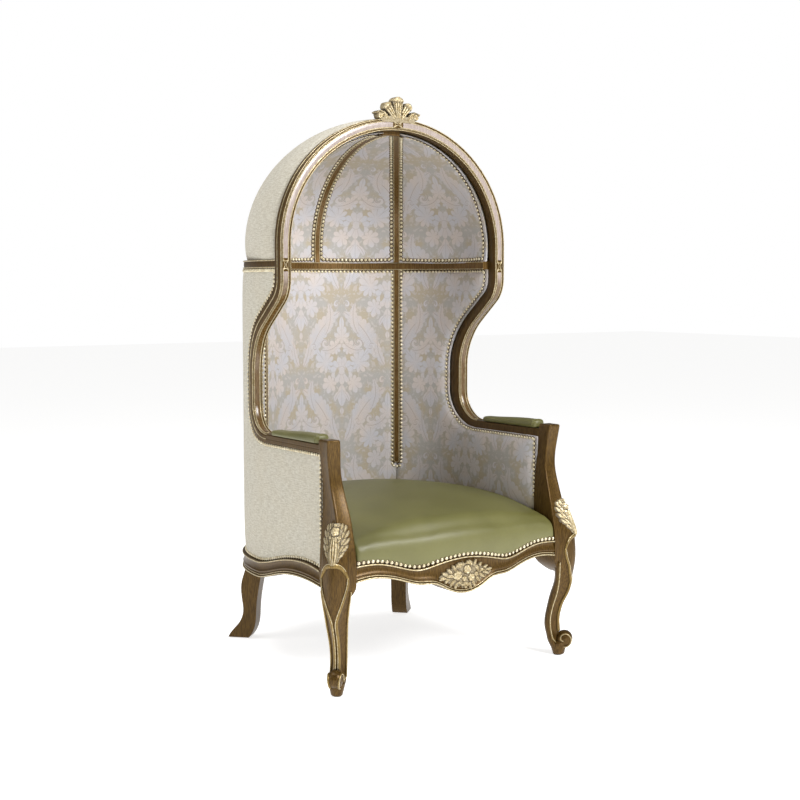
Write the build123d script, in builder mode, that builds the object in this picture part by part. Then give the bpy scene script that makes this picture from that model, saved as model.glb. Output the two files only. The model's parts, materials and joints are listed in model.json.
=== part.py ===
# Hooded barrel armchair with carved cabriole front legs, in millimetres.
# The origin is on the floor under the middle of the chair, and the chair faces -Y.
import os
from build123d import *

# Plan of the chair
frame_outer = 392  # outside of the wooden frame, from the middle plane
frame_thickness = 35
back_centre_y = 43  # centre of the round back
arch_front_y = -87
foot_inset = 9  # centre of a front foot, from the outside of the frame
leg_y = -367

# Walls, measured inwards from the outside of the frame
cover_recess = 4
cover_thickness = 8
panel_recess = 50
rib_recess = 55
belt_recess = 6
upright_thickness = 20  # where the uprights are hidden behind the panels
rib_width = 20

# Heights
belt_bottom_z = 1142
belt_height = 24
frame_joint_z = 1151  # joint between the arch and the wing frames
spring_z = 1207.6
upright_foot_z = 515  # where the uprights come out from behind the panels

# Hood
arch_rise = 368
arch_face_width = 35
arch_depth = 35
arch_chamfer_width = 3
hood_centre_y = -2
cover_drop = 3  # the hood's cover starts this much below the top of the arch
hood_panel_drop = 38
hood_rib_drop = 43
hub_setback_depth = 10  # the hood's ribs meet this far behind the front of the arch
hood_rib_angle = 33.7

# Wing frames, seen from the side
wing_top_length = 39
wing_shoulder_radius = 88
wing_turn_angle = 51.5
wing_slope_length = 100
wing_waist_radius = 186
wing_waist_length = 77
wing_elbow_radius = 88
elbow_back_radius = 112
arm_height = 24

# Arm pads
pad_length = 262
pad_width = 44
pad_height = 24
pad_front_gap = 14
pad_corner_radius = 14
pad_crown_radius = 62
pad_edge_radius = 7
pad_foot_radius = 3
pad_clearance = 0.3

# Front legs with the arm posts
post_top_z = 685
rail_block_z = 300  # underside of the block that takes the rails
knee_top_z = 475
leg_unit_width = 50  # unit of the sections' shares
foot_pad_radius = 16
foot_pad_height = 36
foot_top_radius = 23
ankle_z = 20  # where the leg runs into its foot
scroll_radius = 24
scroll_width = 46
scroll_offset = 20
scroll_z = 50
scroll_edge_radius = 9

# Back legs, on the diagonals of the round back
back_leg_width = 50
back_leg_unit_width = 60

# Seat rails
rail_thickness = 38
strip_top_z = 372  # top of the strip that the covers are tacked to
strip_setback_depth = 12
front_rail_y = -396
front_rail_bow_depth = 26
front_rail_end_length = 19  # the front rail's lines run on behind the posts
front_rail_top_z = 325
front_rail_top_wave_height = 28
front_rail_bottom_z = 243
front_rail_bottom_wave_height = 68
side_rail_step_depth = 4  # the side rails stand this far outside the frame
side_rail_top_z = 298
side_rail_top_wave_height = 41
side_rail_bottom_z = 251
side_rail_bottom_wave_height = 41
bead_height = 7
bead_depth = 3

# Seat
deck_thickness = 16
dust_cover_thickness = 1.5
seat_crown_z = 499
seat_crown_radius = 1500
seat_crown_y = -20
seat_skirt_z = 318
seat_bulge_depth = 9
seat_draw_in_depth = 5
seat_clearance = 0.4

# Glue blocks and their screws
block_height = 42
block_reach_length = 65
back_block_depth = 34
back_block_half_width = 62
screw_radius = 2.5
screw_in_block_length = 27
screw_in_rail_length = 18
screw_inset = 20  # from the thin ends of the blocks

# Crest and apron carvings
crest_depth = 26
crest_setback_depth = 4
crest_height = 66
crest_half_width = 80
apron_relief_depth = 9
apron_half_width = 92
apron_half_height = 42
apron_z = 293

glide_height = 3
glide_radius = 12
overrun_length = 60  # how far cutting tools run past what they cut

post_inside_share = 0.84
post_back_share = 1.32

# Worked out from the sizes above
leg_x = frame_outer - foot_inset
post_inside_x = leg_x - leg_unit_width * post_inside_share
post_back_y = leg_y + leg_unit_width * post_back_share
front_rail_half_span = post_inside_x + front_rail_end_length
frame_inner = frame_outer - frame_thickness
cover_outer = frame_outer - cover_recess
cover_inner = cover_outer - cover_thickness
panel_inner = frame_outer - panel_recess
rib_inner = frame_outer - rib_recess
belt_outer = frame_outer - belt_recess
belt_top_z = belt_bottom_z + belt_height
arch_back_y = arch_front_y + arch_depth
arch_inner = frame_outer - arch_face_width
hub_y = arch_front_y + hub_setback_depth
rail_outer = frame_outer + side_rail_step_depth
rail_inner = rail_outer - rail_thickness
front_rail_back_y = front_rail_y + rail_thickness
deck_bottom_z = strip_top_z - deck_thickness
block_top_z = deck_bottom_z - dust_cover_thickness
screw_z = block_top_z - block_height / 2
reach = frame_outer + overrun_length
far = 4 * reach
half_root = 2**-0.5

# Sections of the arm post: height, then the outer and inner side, front and back from the
# centre of the foot
post_shares = (
    (0, 0.3, post_inside_share, 0.68, post_back_share),
    (0.12, 0.29, post_inside_share, 0.68, post_back_share),
    (0.22, 0.26, post_inside_share, 0.6, post_back_share),
    (0.32, 0.2, post_inside_share, 0.42, post_back_share),
    (0.42, 0.12, post_inside_share, 0.22, post_back_share),
    (0.55, 0.07, 0.78, -0.12, post_back_share),
    (0.68, 0.08, 0.7, -0.44, post_back_share),
    (0.8, 0.16, 0.6, -0.5, post_back_share),
    (0.92, 0.28, 0.54, -0.42, post_back_share),
    (1, 0.32, 0.46, -0.32, post_back_share),
)
# Sections of the knee and leg, on the post's corner: height, then how far the sides reach out
# and in from the centre of the foot
leg_shares = (
    (0, 0.2, 0.3),
    (0.07, 0.1, 0.42),
    (0.12, 0.02, 0.54),
    (0.18, 0, 0.57),
    (0.28, 0.14, 0.48),
    (0.39, 0.44, 0.34),
    (0.5, 0.66, 0.2),
    (0.57, 0.72, 0.3),
    (0.62, 0.74, 0.56),
    (0.71, 0.7, 0.5),
    (0.78, 0.64, 0.46),
    (0.87, 0.45, 0.46),
    (0.94, 0.26, 0.46),
    (1, 0.02, 0.46),
)

# Outer and inner edge of a back leg: distance from the frame's outside, and height
back_leg_outer_shares = (
    (0.07, 1),
    (0.2, 0.73),
    (0.42, 0.57),
    (0.38, 0.4),
    (0.34, 0.27),
    (0.52, 0.17),
    (0.93, 0.07),
    (1.15, 0),
)
back_leg_inner_shares = ((-0.66, 1), (-0.7, 0.75), (-0.5, 0.52), (-0.37, 0.3), (-0.29, 0.13), (0.05, 0))
back_glide_share = 0.6

# Edges of the front rail from the middle to the end, and its bow in plan
front_top_shares = (
    (0, 0.75),
    (0.14, 0.62),
    (0.28, 0.29),
    (0.42, 0),
    (0.58, 0.43),
    (0.76, 0.96),
    (0.86, 1),
    (1, 0.86),
)
front_bottom_shares = ((0, 0), (0.15, 0.18), (0.28, 0.5), (0.4, 0.55), (0.56, 0.78), (0.8, 1), (1, 0.86))
front_bow_shares = ((0, 1), (0.3, 0.88), (0.6, 0.42), (0.85, 0.07), (1, 0))

# Edges of a side rail from the post to the start of the round back
side_top_shares = ((-1, 0.8), (-0.84, 0.99), (-0.68, 1), (-0.52, 0.88), (-0.35, 0.62), (0, 0))
side_bottom_shares = ((-1, 0.82), (-0.84, 0.96), (-0.68, 1), (-0.52, 0.93), (-0.35, 0.7), (0, 0))

# Sections of the seat: height, how far the front stands forward, how far the sides draw in
seat_shares = (
    (0, -0.2, 0.6),
    (0.18, 0.35, 0),
    (0.45, 1, 0),
    (0.67, 0.6, 0),
    (0.87, -1.6, 0.5),
    (1.05, -5.5, 1.2),
)

# Lobes of the crest and of the apron's carving: place, half width, half height and tilt
crest_lobe_shares = (
    (0, 0.06, 0.82, 0.26, 0),
    (0, 0.58, 0.27, 0.42, 0),
    (0.4, 0.34, 0.21, 0.36, -24),
    (0.76, 0.12, 0.22, 0.2, -60),
)
apron_lobe_shares = (
    (0, 0.1, 0.32, 0.86, 0),
    (0.3, 0.28, 0.2, 0.5, -35),
    (0.42, -0.3, 0.3, 0.34, 30),
    (0.72, 0.1, 0.27, 0.26, -20),
)


os.makedirs("parts", exist_ok=True)


def finish(piece, name):
    piece.label = name
    export_step(piece, f"parts/{name}.step")


# Writes a right piece and its mirror image
def finish_pair(right_piece, name):
    finish(right_piece, f"{name}_right")
    with BuildPart() as left:
        add(mirror(right_piece, about=Plane.YZ, mode=Mode.PRIVATE))
    finish(left.part, f"{name}_left")
    return left.part


# Vertical plane square to Y, with X to the right and Z up
def front_plane(y):
    return Plane.XZ.offset(-y)


# Plan of everything inside a line along both sides and round the back
def floor_plan(radius, front_y):
    with BuildSketch() as plan:
        with Locations((0, back_centre_y)):
            Circle(radius)
        with Locations((0, front_y)):
            Rectangle(2 * radius, back_centre_y - front_y, align=(Align.CENTER, Align.MIN))
            Rectangle(far, far, align=(Align.CENTER, Align.MAX), mode=Mode.SUBTRACT)
    return plan.sketch


# Plan of a wall along both sides and round the back
def wall_plan(outer, inner, front_y):
    with BuildSketch() as plan:
        add(floor_plan(outer, front_y))
        add(floor_plan(inner, front_y), mode=Mode.SUBTRACT)
    return plan.sketch


# End points of a line, in order along an axis
def ends(line, axis=Axis.X):
    in_order = line.vertices().sort_by(axis)
    return tuple(in_order[0]), tuple(in_order[-1])


# Face between two lines that run the same way, closed at both ends
def closed_band(top, bottom):
    top_ends = ends(top)
    bottom_ends = ends(bottom)
    with BuildSketch() as band:
        with BuildLine():
            add(top)
            add(bottom)
            Line(top_ends[0], bottom_ends[0])
            Line(top_ends[1], bottom_ends[1])
        make_face()
    return band.sketch


# Edge of the hood and wing, seen from the side, from the joint under the arch to the arm.
# The inset is measured back from the front edge.
def wing_edge(inset, elbow_radius):
    with BuildLine() as edge:
        top = Line(
            (arch_front_y + inset, frame_joint_z),
            (arch_front_y + inset, frame_joint_z - wing_top_length),
        )
        shoulder = JernArc(top @ 1, top % 1, wing_shoulder_radius - inset, wing_turn_angle)
        slope = PolarLine(shoulder @ 1, wing_slope_length, direction=shoulder % 1)
        waist = JernArc(slope @ 1, slope % 1, wing_waist_radius + inset, -wing_turn_angle)
        straight = PolarLine(waist @ 1, wing_waist_length, direction=waist % 1)
        elbow = JernArc(straight @ 1, straight % 1, elbow_radius, -90)
    return edge.line, elbow @ 1


wing_front, elbow_front = wing_edge(0, wing_elbow_radius)
wing_back, elbow_back = wing_edge(frame_thickness, elbow_back_radius)
arm_top_z = elbow_front.Y
arm_bottom_z = arm_top_z - arm_height
arm_end_y = elbow_front.X

# Seen from the side: the wooden band of the wing, down to the rounded end of the arm
with BuildSketch() as wing_side:
    with BuildLine():
        add(wing_front)
        add(wing_back)
        Line((arch_front_y, frame_joint_z), (arch_back_y, frame_joint_z))
        Line((arm_end_y, arm_top_z), elbow_back)
    make_face()

# Seen from the side: all that is open in front of the wing and above the arm
with BuildSketch() as open_side:
    with BuildLine():
        add(wing_front)
        Polyline(
            (arm_end_y, arm_top_z),
            (-far, arm_top_z),
            (-far, far),
            (arch_front_y, far),
            (arch_front_y, frame_joint_z),
        )
    make_face()


# Line of a side rail's edge, seen from the side, level round the back
def side_rail_line(base_z, wave, shares):
    run = back_centre_y - post_back_y
    points = [(back_centre_y + run * place, base_z + wave * height) for place, height in shares]
    with BuildLine() as line:
        curve = Spline(points, tangents=((1, 0.5), (1, 0)))
        Line(curve @ 1, (far, base_z))
    return line.line


def side_rail_top(drop):
    return side_rail_line(side_rail_top_z - drop, side_rail_top_wave_height, side_top_shares)


def side_rail_bottom(rise):
    return side_rail_line(side_rail_bottom_z + rise, side_rail_bottom_wave_height, side_bottom_shares)


# Line of the front rail's edge, seen from the front, from side to side
def front_rail_line(base_z, wave, shares):
    right = [(front_rail_half_span * place, base_z + wave * height) for place, height in shares]
    left = [(-x, z) for x, z in right[:0:-1]]
    with BuildLine() as line:
        Spline(left + right)
    return line.line


def front_rail_top(drop):
    return front_rail_line(front_rail_top_z - drop, front_rail_top_wave_height, front_top_shares)


def front_rail_bottom(rise):
    return front_rail_line(front_rail_bottom_z + rise, front_rail_bottom_wave_height, front_bottom_shares)


# Serpentine line of the front in plan, moved forward, out to a half width
def front_curve(forward, half_width):
    right = [
        (half_width * place, front_rail_y - front_rail_bow_depth * bow - forward)
        for place, bow in front_bow_shares
    ]
    left = [(-x, y) for x, y in right[:0:-1]]
    with BuildLine() as line:
        Spline(left + right)
    return line.line


# Plan of the front rail with its front face moved forward
def front_rail_plan(forward):
    half = front_rail_half_span
    curve = front_curve(forward, half)
    left_end, right_end = ends(curve)
    with BuildSketch() as plan:
        with BuildLine():
            add(curve)
            Polyline(left_end, (-half, front_rail_back_y), (half, front_rail_back_y), right_end)
        make_face()
    return plan.sketch


# Surfaces of the hood: balls drawn out along Y and Z
def hood_surface(inset, drop):
    half_width = frame_outer - inset
    depth = back_centre_y + half_width - hood_centre_y
    with BuildPart() as ball:
        Sphere(half_width)
        scale(by=(1, depth / half_width, (arch_rise - drop) / half_width))
    return ball.part.moved(Location((0, hood_centre_y, spring_z)))


cover_outside = hood_surface(cover_recess, cover_drop)
cover_inside = hood_surface(cover_recess + cover_thickness, cover_drop + cover_thickness)
hood_panel_inside = hood_surface(panel_recess, hood_panel_drop)
hood_rib_inside = hood_surface(rib_recess, hood_rib_drop)

# Plan planes whose X runs out along a diagonal of the round back, or along a rib of the hood
right_diagonal = Plane(origin=(0, back_centre_y, 0), x_dir=(1, 1, 0), z_dir=(0, 0, 1))
left_diagonal = Plane(origin=(0, back_centre_y, 0), x_dir=(-1, 1, 0), z_dir=(0, 0, 1))
hood_rib_plane = Plane(origin=(0, hub_y, 0), x_dir=(0, 1, 0), z_dir=(0, 0, 1)).rotated(
    (0, 0, -hood_rib_angle)
)


# Keeps what lies clockwise of a plan plane's X axis, or on its other side
def keep_side(plane, gap, clockwise):
    if clockwise:
        side, place = Align.MAX, -gap
    else:
        side, place = Align.MIN, gap
    with BuildSketch(plane) as kept:
        with Locations((0, place)):
            Rectangle(far, far, align=(Align.CENTER, side))
    extrude(kept.sketch, amount=far, both=True, mode=Mode.INTERSECT)


def keep_right_half(gap=0):
    with BuildSketch() as kept:
        with Locations((gap, 0)):
            Rectangle(far, far, align=(Align.MIN, Align.CENTER))
    extrude(kept.sketch, amount=far, both=True, mode=Mode.INTERSECT)


# Keeps the hood's pieces behind the arch and above the belt
def keep_hood():
    with Locations((0, arch_back_y, belt_top_z)):
        Box(far, far, far, align=(Align.CENTER, Align.MIN, Align.MIN), mode=Mode.INTERSECT)


# Hood arch, in two halves that meet under the crest
with BuildPart() as arch_right:
    with BuildSketch(front_plane(arch_front_y)):
        with Locations((0, spring_z)):
            Ellipse(frame_outer, arch_rise)
            Rectangle(far, far, align=(Align.CENTER, Align.MAX), mode=Mode.SUBTRACT)
            Rectangle(2 * frame_outer, spring_z - frame_joint_z, align=(Align.CENTER, Align.MAX))
            Ellipse(arch_inner, arch_rise - arch_face_width, mode=Mode.SUBTRACT)
            Rectangle(2 * arch_inner, far, align=(Align.CENTER, Align.MAX), mode=Mode.SUBTRACT)
            Rectangle(far, far, align=(Align.MAX, Align.CENTER), mode=Mode.SUBTRACT)
    extrude(amount=-arch_depth)
    chamfer(faces().sort_by(Axis.Y)[0].edges().filter_by(GeomType.ELLIPSE), arch_chamfer_width)
finish_pair(arch_right.part, "hood_arch")

# Wing frame, from the joint under the arch round the bend to the arm
with BuildPart() as wing_frame_right:
    with BuildSketch():
        add(wall_plan(frame_outer, frame_inner, post_back_y))
    extrude(amount=far)
    with BuildSketch(Plane.YZ):
        add(wing_side.sketch)
    extrude(amount=reach, mode=Mode.INTERSECT)
finish_pair(wing_frame_right.part, "wing_frame")

# Arm rail, from the bend to the post
with BuildPart() as arm_rail_right:
    with BuildSketch(Plane.YZ.offset(frame_inner)):
        with BuildLine():
            Polyline(
                (post_back_y, arm_bottom_z),
                (post_back_y, arm_top_z),
                (arm_end_y, arm_top_z),
                (elbow_back.X, arm_bottom_z),
                (post_back_y, arm_bottom_z),
            )
        make_face()
    extrude(amount=frame_thickness)
finish_pair(arm_rail_right.part, "arm_rail")

# Padded arm rest with a crown, soft edges and a drawn-in foot
with BuildPart() as arm_pad_right:
    pad_z = arm_top_z + pad_clearance
    pad_x = frame_outer - frame_thickness / 2
    with BuildSketch(Plane.XY.offset(pad_z)):
        with Locations((pad_x, post_back_y + pad_front_gap + pad_length / 2)):
            RectangleRounded(pad_width, pad_length, pad_corner_radius)
    extrude(amount=pad_height)
    with BuildSketch(front_plane(0)):
        with Locations((pad_x, pad_z + pad_height - pad_crown_radius)):
            Circle(pad_crown_radius)
    extrude(amount=far, both=True, mode=Mode.INTERSECT)
    fillet(faces().sort_by(Axis.Z)[-1].edges(), pad_edge_radius)
    fillet(faces().sort_by(Axis.Z)[0].edges(), pad_foot_radius)
finish_pair(arm_pad_right.part, "arm_pad")

# Section of the front leg at a height, in shares from the centre of its foot
def leg_section(z, out, inside, forward, back):
    with BuildSketch(Plane.XY.offset(z)) as section:
        with Locations((leg_x + leg_unit_width * out, leg_y - leg_unit_width * forward)):
            Rectangle(
                leg_unit_width * (out + inside),
                leg_unit_width * (forward + back),
                align=(Align.MAX, Align.MIN),
            )
    return section.sketch


# Front leg and arm post in one piece: the post over the seat rails and a cabriole leg on its
# corner, with its scrolled toe turned out on the diagonal
with BuildPart() as front_leg_right:
    for height, *reaches in post_shares:
        add(leg_section(rail_block_z + (post_top_z - rail_block_z) * height, *reaches))
    loft()
    for height, out, inside in leg_shares:
        add(leg_section(ankle_z + (knee_top_z - ankle_z) * height, out, inside, out, inside))
    loft()
    split(bisect_by=Plane.YZ.offset(post_inside_x))
    split(bisect_by=Plane.XZ.offset(-post_back_y))
    toe_x = leg_x + scroll_offset * half_root
    toe_y = leg_y - scroll_offset * half_root
    with BuildPart(mode=Mode.PRIVATE) as toe:
        with BuildSketch(Plane(origin=(toe_x, toe_y, scroll_z), z_dir=(1, 1, 0))):
            Circle(scroll_radius)
        extrude(amount=scroll_width / 2, both=True)
        fillet(toe.edges().filter_by(GeomType.CIRCLE), scroll_edge_radius)
    add(toe.part)
    upright = (Align.CENTER, Align.CENTER, Align.MIN)
    with Locations((leg_x, leg_y, glide_height)):
        Cone(foot_pad_radius, foot_top_radius, foot_pad_height, align=upright)
finish_pair(front_leg_right.part, "front_leg")


def back_leg_edge(shares):
    height = side_rail_top_z - glide_height
    points = [(frame_outer + back_leg_unit_width * out, glide_height + height * up) for out, up in shares]
    with BuildLine() as edge:
        Spline(points)
    return edge.line


# Back leg, a sabre leg on the diagonal of the round back
outer_edge = back_leg_edge(back_leg_outer_shares)
inner_edge = back_leg_edge(back_leg_inner_shares)
with BuildPart() as back_leg_right:
    with BuildSketch(Plane(origin=(0, back_centre_y, 0), x_dir=(1, 1, 0), z_dir=(1, -1, 0))):
        with BuildLine():
            add(outer_edge)
            add(inner_edge)
            for outer_end, inner_end in zip(ends(outer_edge, Axis.Y), ends(inner_edge, Axis.Y)):
                Line(outer_end, inner_end)
        make_face()
    extrude(amount=back_leg_width / 2, both=True)
finish_pair(back_leg_right.part, "back_leg")

# Screws through the glue blocks, each on a plane that faces from the block into the rail
diagonal_screw_y = back_block_half_width - screw_inset
screw_planes = [
    Plane(
        origin=(post_inside_x - block_reach_length + screw_inset, front_rail_back_y, screw_z),
        z_dir=(0, -1, 0),
    ),
    Plane(origin=(rail_inner, post_back_y + block_reach_length - screw_inset, screw_z), z_dir=(1, 0, 0)),
]
for side in (-1, 1):
    screw_place = right_diagonal.from_local_coords((rail_inner, side * diagonal_screw_y, screw_z))
    screw_planes.append(Plane(origin=screw_place, z_dir=(1, 1, 0)))


def screw_shafts(in_block):
    with BuildPart() as shafts:
        for plane in screw_planes:
            with BuildSketch(plane.offset(-in_block)):
                Circle(screw_radius)
            extrude(amount=in_block + screw_in_rail_length)
        mirror(about=Plane.YZ)
    return shafts.part


block_screws = screw_shafts(screw_in_block_length)
finish(block_screws, "block_screws")


# Slice of the front rail: a plan moved forward, cut to a band seen from the front
def front_rail_slice(forward, top, bottom):
    with BuildPart() as piece:
        with BuildSketch():
            add(front_rail_plan(forward))
        extrude(amount=far)
        with BuildSketch(front_plane(0)):
            add(closed_band(top, bottom))
        extrude(amount=far, both=True, mode=Mode.INTERSECT)
    return piece.part


# Front rail: serpentine in plan and shaped above and below, with a bead along both edges
# and a strip behind the seat's cover
front_rail_body = front_rail_slice(0, front_rail_top(0), front_rail_bottom(0))
front_top_bead = front_rail_slice(bead_depth, front_rail_top(0), front_rail_top(bead_height))
front_bottom_bead = front_rail_slice(bead_depth, front_rail_bottom(bead_height), front_rail_bottom(0))
front_strip_z = front_rail_top_z - bead_height
with BuildPart() as front_rail:
    with BuildSketch(Plane.XY.offset(front_strip_z)):
        add(front_rail_plan(-strip_setback_depth))
    extrude(amount=strip_top_z - front_strip_z)
    add(front_rail_body)
    add(front_top_bead)
    add(front_bottom_bead)
    with BuildSketch():
        Rectangle(2 * post_inside_x, far)
    extrude(amount=far, mode=Mode.INTERSECT)
    add(block_screws, mode=Mode.SUBTRACT)
finish(front_rail.part, "front_rail")


# Slice of the side and back rails: a wall's plan, cut to a band seen from the side
def rail_slice(outer, top, bottom):
    with BuildPart() as piece:
        with BuildSketch():
            add(wall_plan(outer, rail_inner, post_back_y))
        extrude(amount=far)
        with BuildSketch(Plane.YZ):
            add(closed_band(top, bottom))
        extrude(amount=far, both=True, mode=Mode.INTERSECT)
    return piece.part


rail_body = rail_slice(rail_outer, side_rail_top(0), side_rail_bottom(0))
rail_top_bead = rail_slice(rail_outer + bead_depth, side_rail_top(0), side_rail_top(bead_height))
rail_bottom_bead = rail_slice(rail_outer + bead_depth, side_rail_bottom(bead_height), side_rail_bottom(0))
side_strip_z = side_rail_top_z - bead_height
with BuildPart() as rail_ring:
    with BuildSketch(Plane.XY.offset(side_strip_z)):
        add(wall_plan(cover_inner, rail_inner, post_back_y))
    extrude(amount=strip_top_z - side_strip_z)
    add(rail_body)
    add(rail_top_bead)
    add(rail_bottom_bead)
    add(block_screws, mode=Mode.SUBTRACT)


# Room in the rails for the top of a back leg
def cut_leg_room(plane):
    with BuildSketch(plane) as room:
        Rectangle(far, back_leg_width, align=(Align.MIN, Align.CENTER))
    extrude(room.sketch, amount=side_rail_top_z, mode=Mode.SUBTRACT)


with BuildPart() as side_rail_right:
    add(rail_ring.part)
    keep_right_half()
    keep_side(right_diagonal, 0, True)
    cut_leg_room(right_diagonal)
finish_pair(side_rail_right.part, "side_rail")

with BuildPart() as back_rail:
    add(rail_ring.part)
    keep_side(right_diagonal, 0, False)
    keep_side(left_diagonal, 0, True)
    cut_leg_room(right_diagonal)
    cut_leg_room(left_diagonal)
finish(back_rail.part, "back_rail")

# Glue blocks in the four corners under the seat
with BuildPart() as corner_blocks:
    with BuildSketch(Plane.XY.offset(block_top_z)):
        with BuildLine():
            Polyline(
                (rail_inner, post_back_y + block_reach_length),
                (rail_inner, post_back_y),
                (post_inside_x, post_back_y),
                (post_inside_x, front_rail_back_y),
                (post_inside_x - block_reach_length, front_rail_back_y),
                (rail_inner, post_back_y + block_reach_length),
            )
        make_face()
    extrude(amount=-block_height)
    with BuildSketch(right_diagonal.offset(block_top_z)):
        with Locations((rail_inner - back_block_depth, 0)):
            Rectangle(rail_inner, 2 * back_block_half_width, align=(Align.MIN, Align.CENTER))
        Circle(rail_inner, mode=Mode.INTERSECT)
    extrude(amount=-block_height)
    mirror(about=Plane.YZ)
    add(screw_shafts(block_reach_length), mode=Mode.SUBTRACT)
finish(corner_blocks.part, "corner_blocks")


# Plan inside the rails, notched round the posts
def seat_floor_plan():
    with BuildSketch() as plan:
        add(floor_plan(rail_inner, front_rail_back_y))
        for side, align in ((1, Align.MIN), (-1, Align.MAX)):
            with Locations((side * post_inside_x, post_back_y)):
                notch_length = overrun_length + leg_unit_width
                Rectangle(overrun_length, notch_length, align=(align, Align.MAX), mode=Mode.SUBTRACT)
    return plan.sketch


with BuildPart() as seat_deck:
    with BuildSketch(Plane.XY.offset(deck_bottom_z)):
        add(seat_floor_plan())
    extrude(amount=deck_thickness)
finish(seat_deck.part, "seat_deck")

with BuildPart() as dust_cover:
    with BuildSketch(Plane.XY.offset(block_top_z)):
        add(seat_floor_plan())
    extrude(amount=dust_cover_thickness)
finish(dust_cover.part, "dust_cover")


# Outline of the tight seat at one height, notched round the posts
def seat_outline(forward, inset):
    front_half = post_inside_x - seat_clearance - inset
    back_half = panel_inner - seat_clearance - inset
    notch_y = post_back_y + seat_clearance + inset
    curve = front_curve(forward, front_half)
    left_end, right_end = ends(curve)
    with BuildSketch() as outline:
        with BuildLine():
            add(curve)
            Polyline(right_end, (front_half, notch_y), (back_half, notch_y), (back_half, back_centre_y))
            CenterArc((0, back_centre_y), back_half, 0, 180)
            Polyline((-back_half, back_centre_y), (-back_half, notch_y), (-front_half, notch_y), left_end)
        make_face()
    return outline.sketch


# Tight leather seat: it bulges forward, draws in at its foot and is crowned on top,
# and its front edge comes down over the strip of the front rail
with BuildPart() as rail_below_seat:
    with BuildSketch(front_plane(0)):
        floor_line = Line((-front_rail_half_span, 0), (front_rail_half_span, 0))
        add(closed_band(front_rail_top(-seat_clearance), floor_line), mode=Mode.ADD)
    extrude(amount=far, both=True)
with BuildPart() as seat_cushion:
    for height, forward, inset in seat_shares:
        with BuildSketch(Plane.XY.offset(seat_skirt_z + (seat_crown_z - seat_skirt_z) * height)):
            add(seat_outline(seat_bulge_depth * forward, seat_draw_in_depth * inset))
    loft()
    with Locations((0, seat_crown_y, seat_crown_z - seat_crown_radius)):
        Sphere(seat_crown_radius, mode=Mode.INTERSECT)
    add(rail_below_seat.part, mode=Mode.SUBTRACT)
    with BuildSketch():
        curve = front_curve(seat_clearance - strip_setback_depth, front_rail_half_span)
        left_end, right_end = ends(curve)
        with BuildLine():
            add(curve)
            Polyline(left_end, (-far, left_end[1]), (-far, far), (far, far), (far, right_end[1]), right_end)
        make_face()
    extrude(amount=strip_top_z + seat_clearance, mode=Mode.SUBTRACT)
finish(seat_cushion.part, "seat_cushion")

# Walls seen from the side, under the belt and behind the wing's frame
with BuildSketch() as wall_side:
    Rectangle(far, belt_bottom_z, align=(Align.CENTER, Align.MIN))
    add(open_side.sketch, mode=Mode.SUBTRACT)
    add(wing_side.sketch, mode=Mode.SUBTRACT)
    with BuildLine():
        Polyline(
            (arm_end_y, arm_top_z),
            (-far, arm_top_z),
            (-far, arm_bottom_z),
            (elbow_back.X, arm_bottom_z),
            (arm_end_y, arm_top_z),
        )
    make_face(mode=Mode.SUBTRACT)


# Wall between two radii, down to a line seen from the side
def build_wall(outer, inner, floor_line):
    ground = Line((post_back_y, 0), (far, 0), mode=Mode.PRIVATE)
    extrude(wall_plan(outer, inner, post_back_y), amount=far)
    with BuildSketch(Plane.YZ) as side_view:
        add(wall_side.sketch)
        add(closed_band(floor_line, ground), mode=Mode.SUBTRACT)
    extrude(side_view.sketch, amount=reach, both=True, mode=Mode.INTERSECT)


strip_line = Line((post_back_y, strip_top_z), (far, strip_top_z))

# Outer cover, one sheet from post to post round the back
with BuildPart() as outer_cover:
    build_wall(cover_outer, cover_inner, side_rail_top(0))
finish(outer_cover.part, "outer_cover")

# Upright behind the corner of the panels, with its face showing above the seat
with BuildPart() as upright_right:
    for foot_z, inner in ((strip_top_z, cover_inner - upright_thickness), (upright_foot_z, rib_inner)):
        with BuildSketch(right_diagonal.offset(foot_z)):
            Rectangle(far, rib_width, align=(Align.MIN, Align.CENTER))
            Circle(cover_inner, mode=Mode.INTERSECT)
            Rectangle(2 * inner, far, mode=Mode.SUBTRACT)
        extrude(amount=belt_bottom_z - foot_z)
upright_left = finish_pair(upright_right.part, "back_upright")

# Padded inner panels
with BuildPart() as side_panel_right:
    build_wall(cover_inner, panel_inner, strip_line)
    keep_right_half()
    keep_side(right_diagonal, 0, True)
    add(upright_right.part, mode=Mode.SUBTRACT)
finish_pair(side_panel_right.part, "side_panel")

with BuildPart() as back_panel:
    build_wall(cover_inner, panel_inner, strip_line)
    keep_side(right_diagonal, 0, False)
    keep_side(left_diagonal, 0, True)
    add(upright_right.part, mode=Mode.SUBTRACT)
    add(upright_left, mode=Mode.SUBTRACT)
finish(back_panel.part, "back_panel")


# Belt between the walls and the hood, in three bent pieces
def build_belt():
    with BuildSketch(Plane.XY.offset(belt_bottom_z)) as belt_plan:
        add(wall_plan(belt_outer, rib_inner, arch_back_y))
    extrude(belt_plan.sketch, amount=belt_height)


with BuildPart() as side_belt_right:
    build_belt()
    keep_right_half()
    keep_side(right_diagonal, 0, True)
finish_pair(side_belt_right.part, "side_belt")

with BuildPart() as back_belt:
    build_belt()
    keep_side(right_diagonal, 0, False)
    keep_side(left_diagonal, 0, True)
finish(back_belt.part, "back_belt")

# Outer cover of the hood
with BuildPart() as hood_cover:
    add(cover_outside)
    add(cover_inside, mode=Mode.SUBTRACT)
    keep_hood()
finish(hood_cover.part, "hood_cover")


# Slab of the hood's lining between its cover and an inner surface
def build_lining(inside):
    add(cover_inside)
    add(inside, mode=Mode.SUBTRACT)
    keep_hood()


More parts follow.
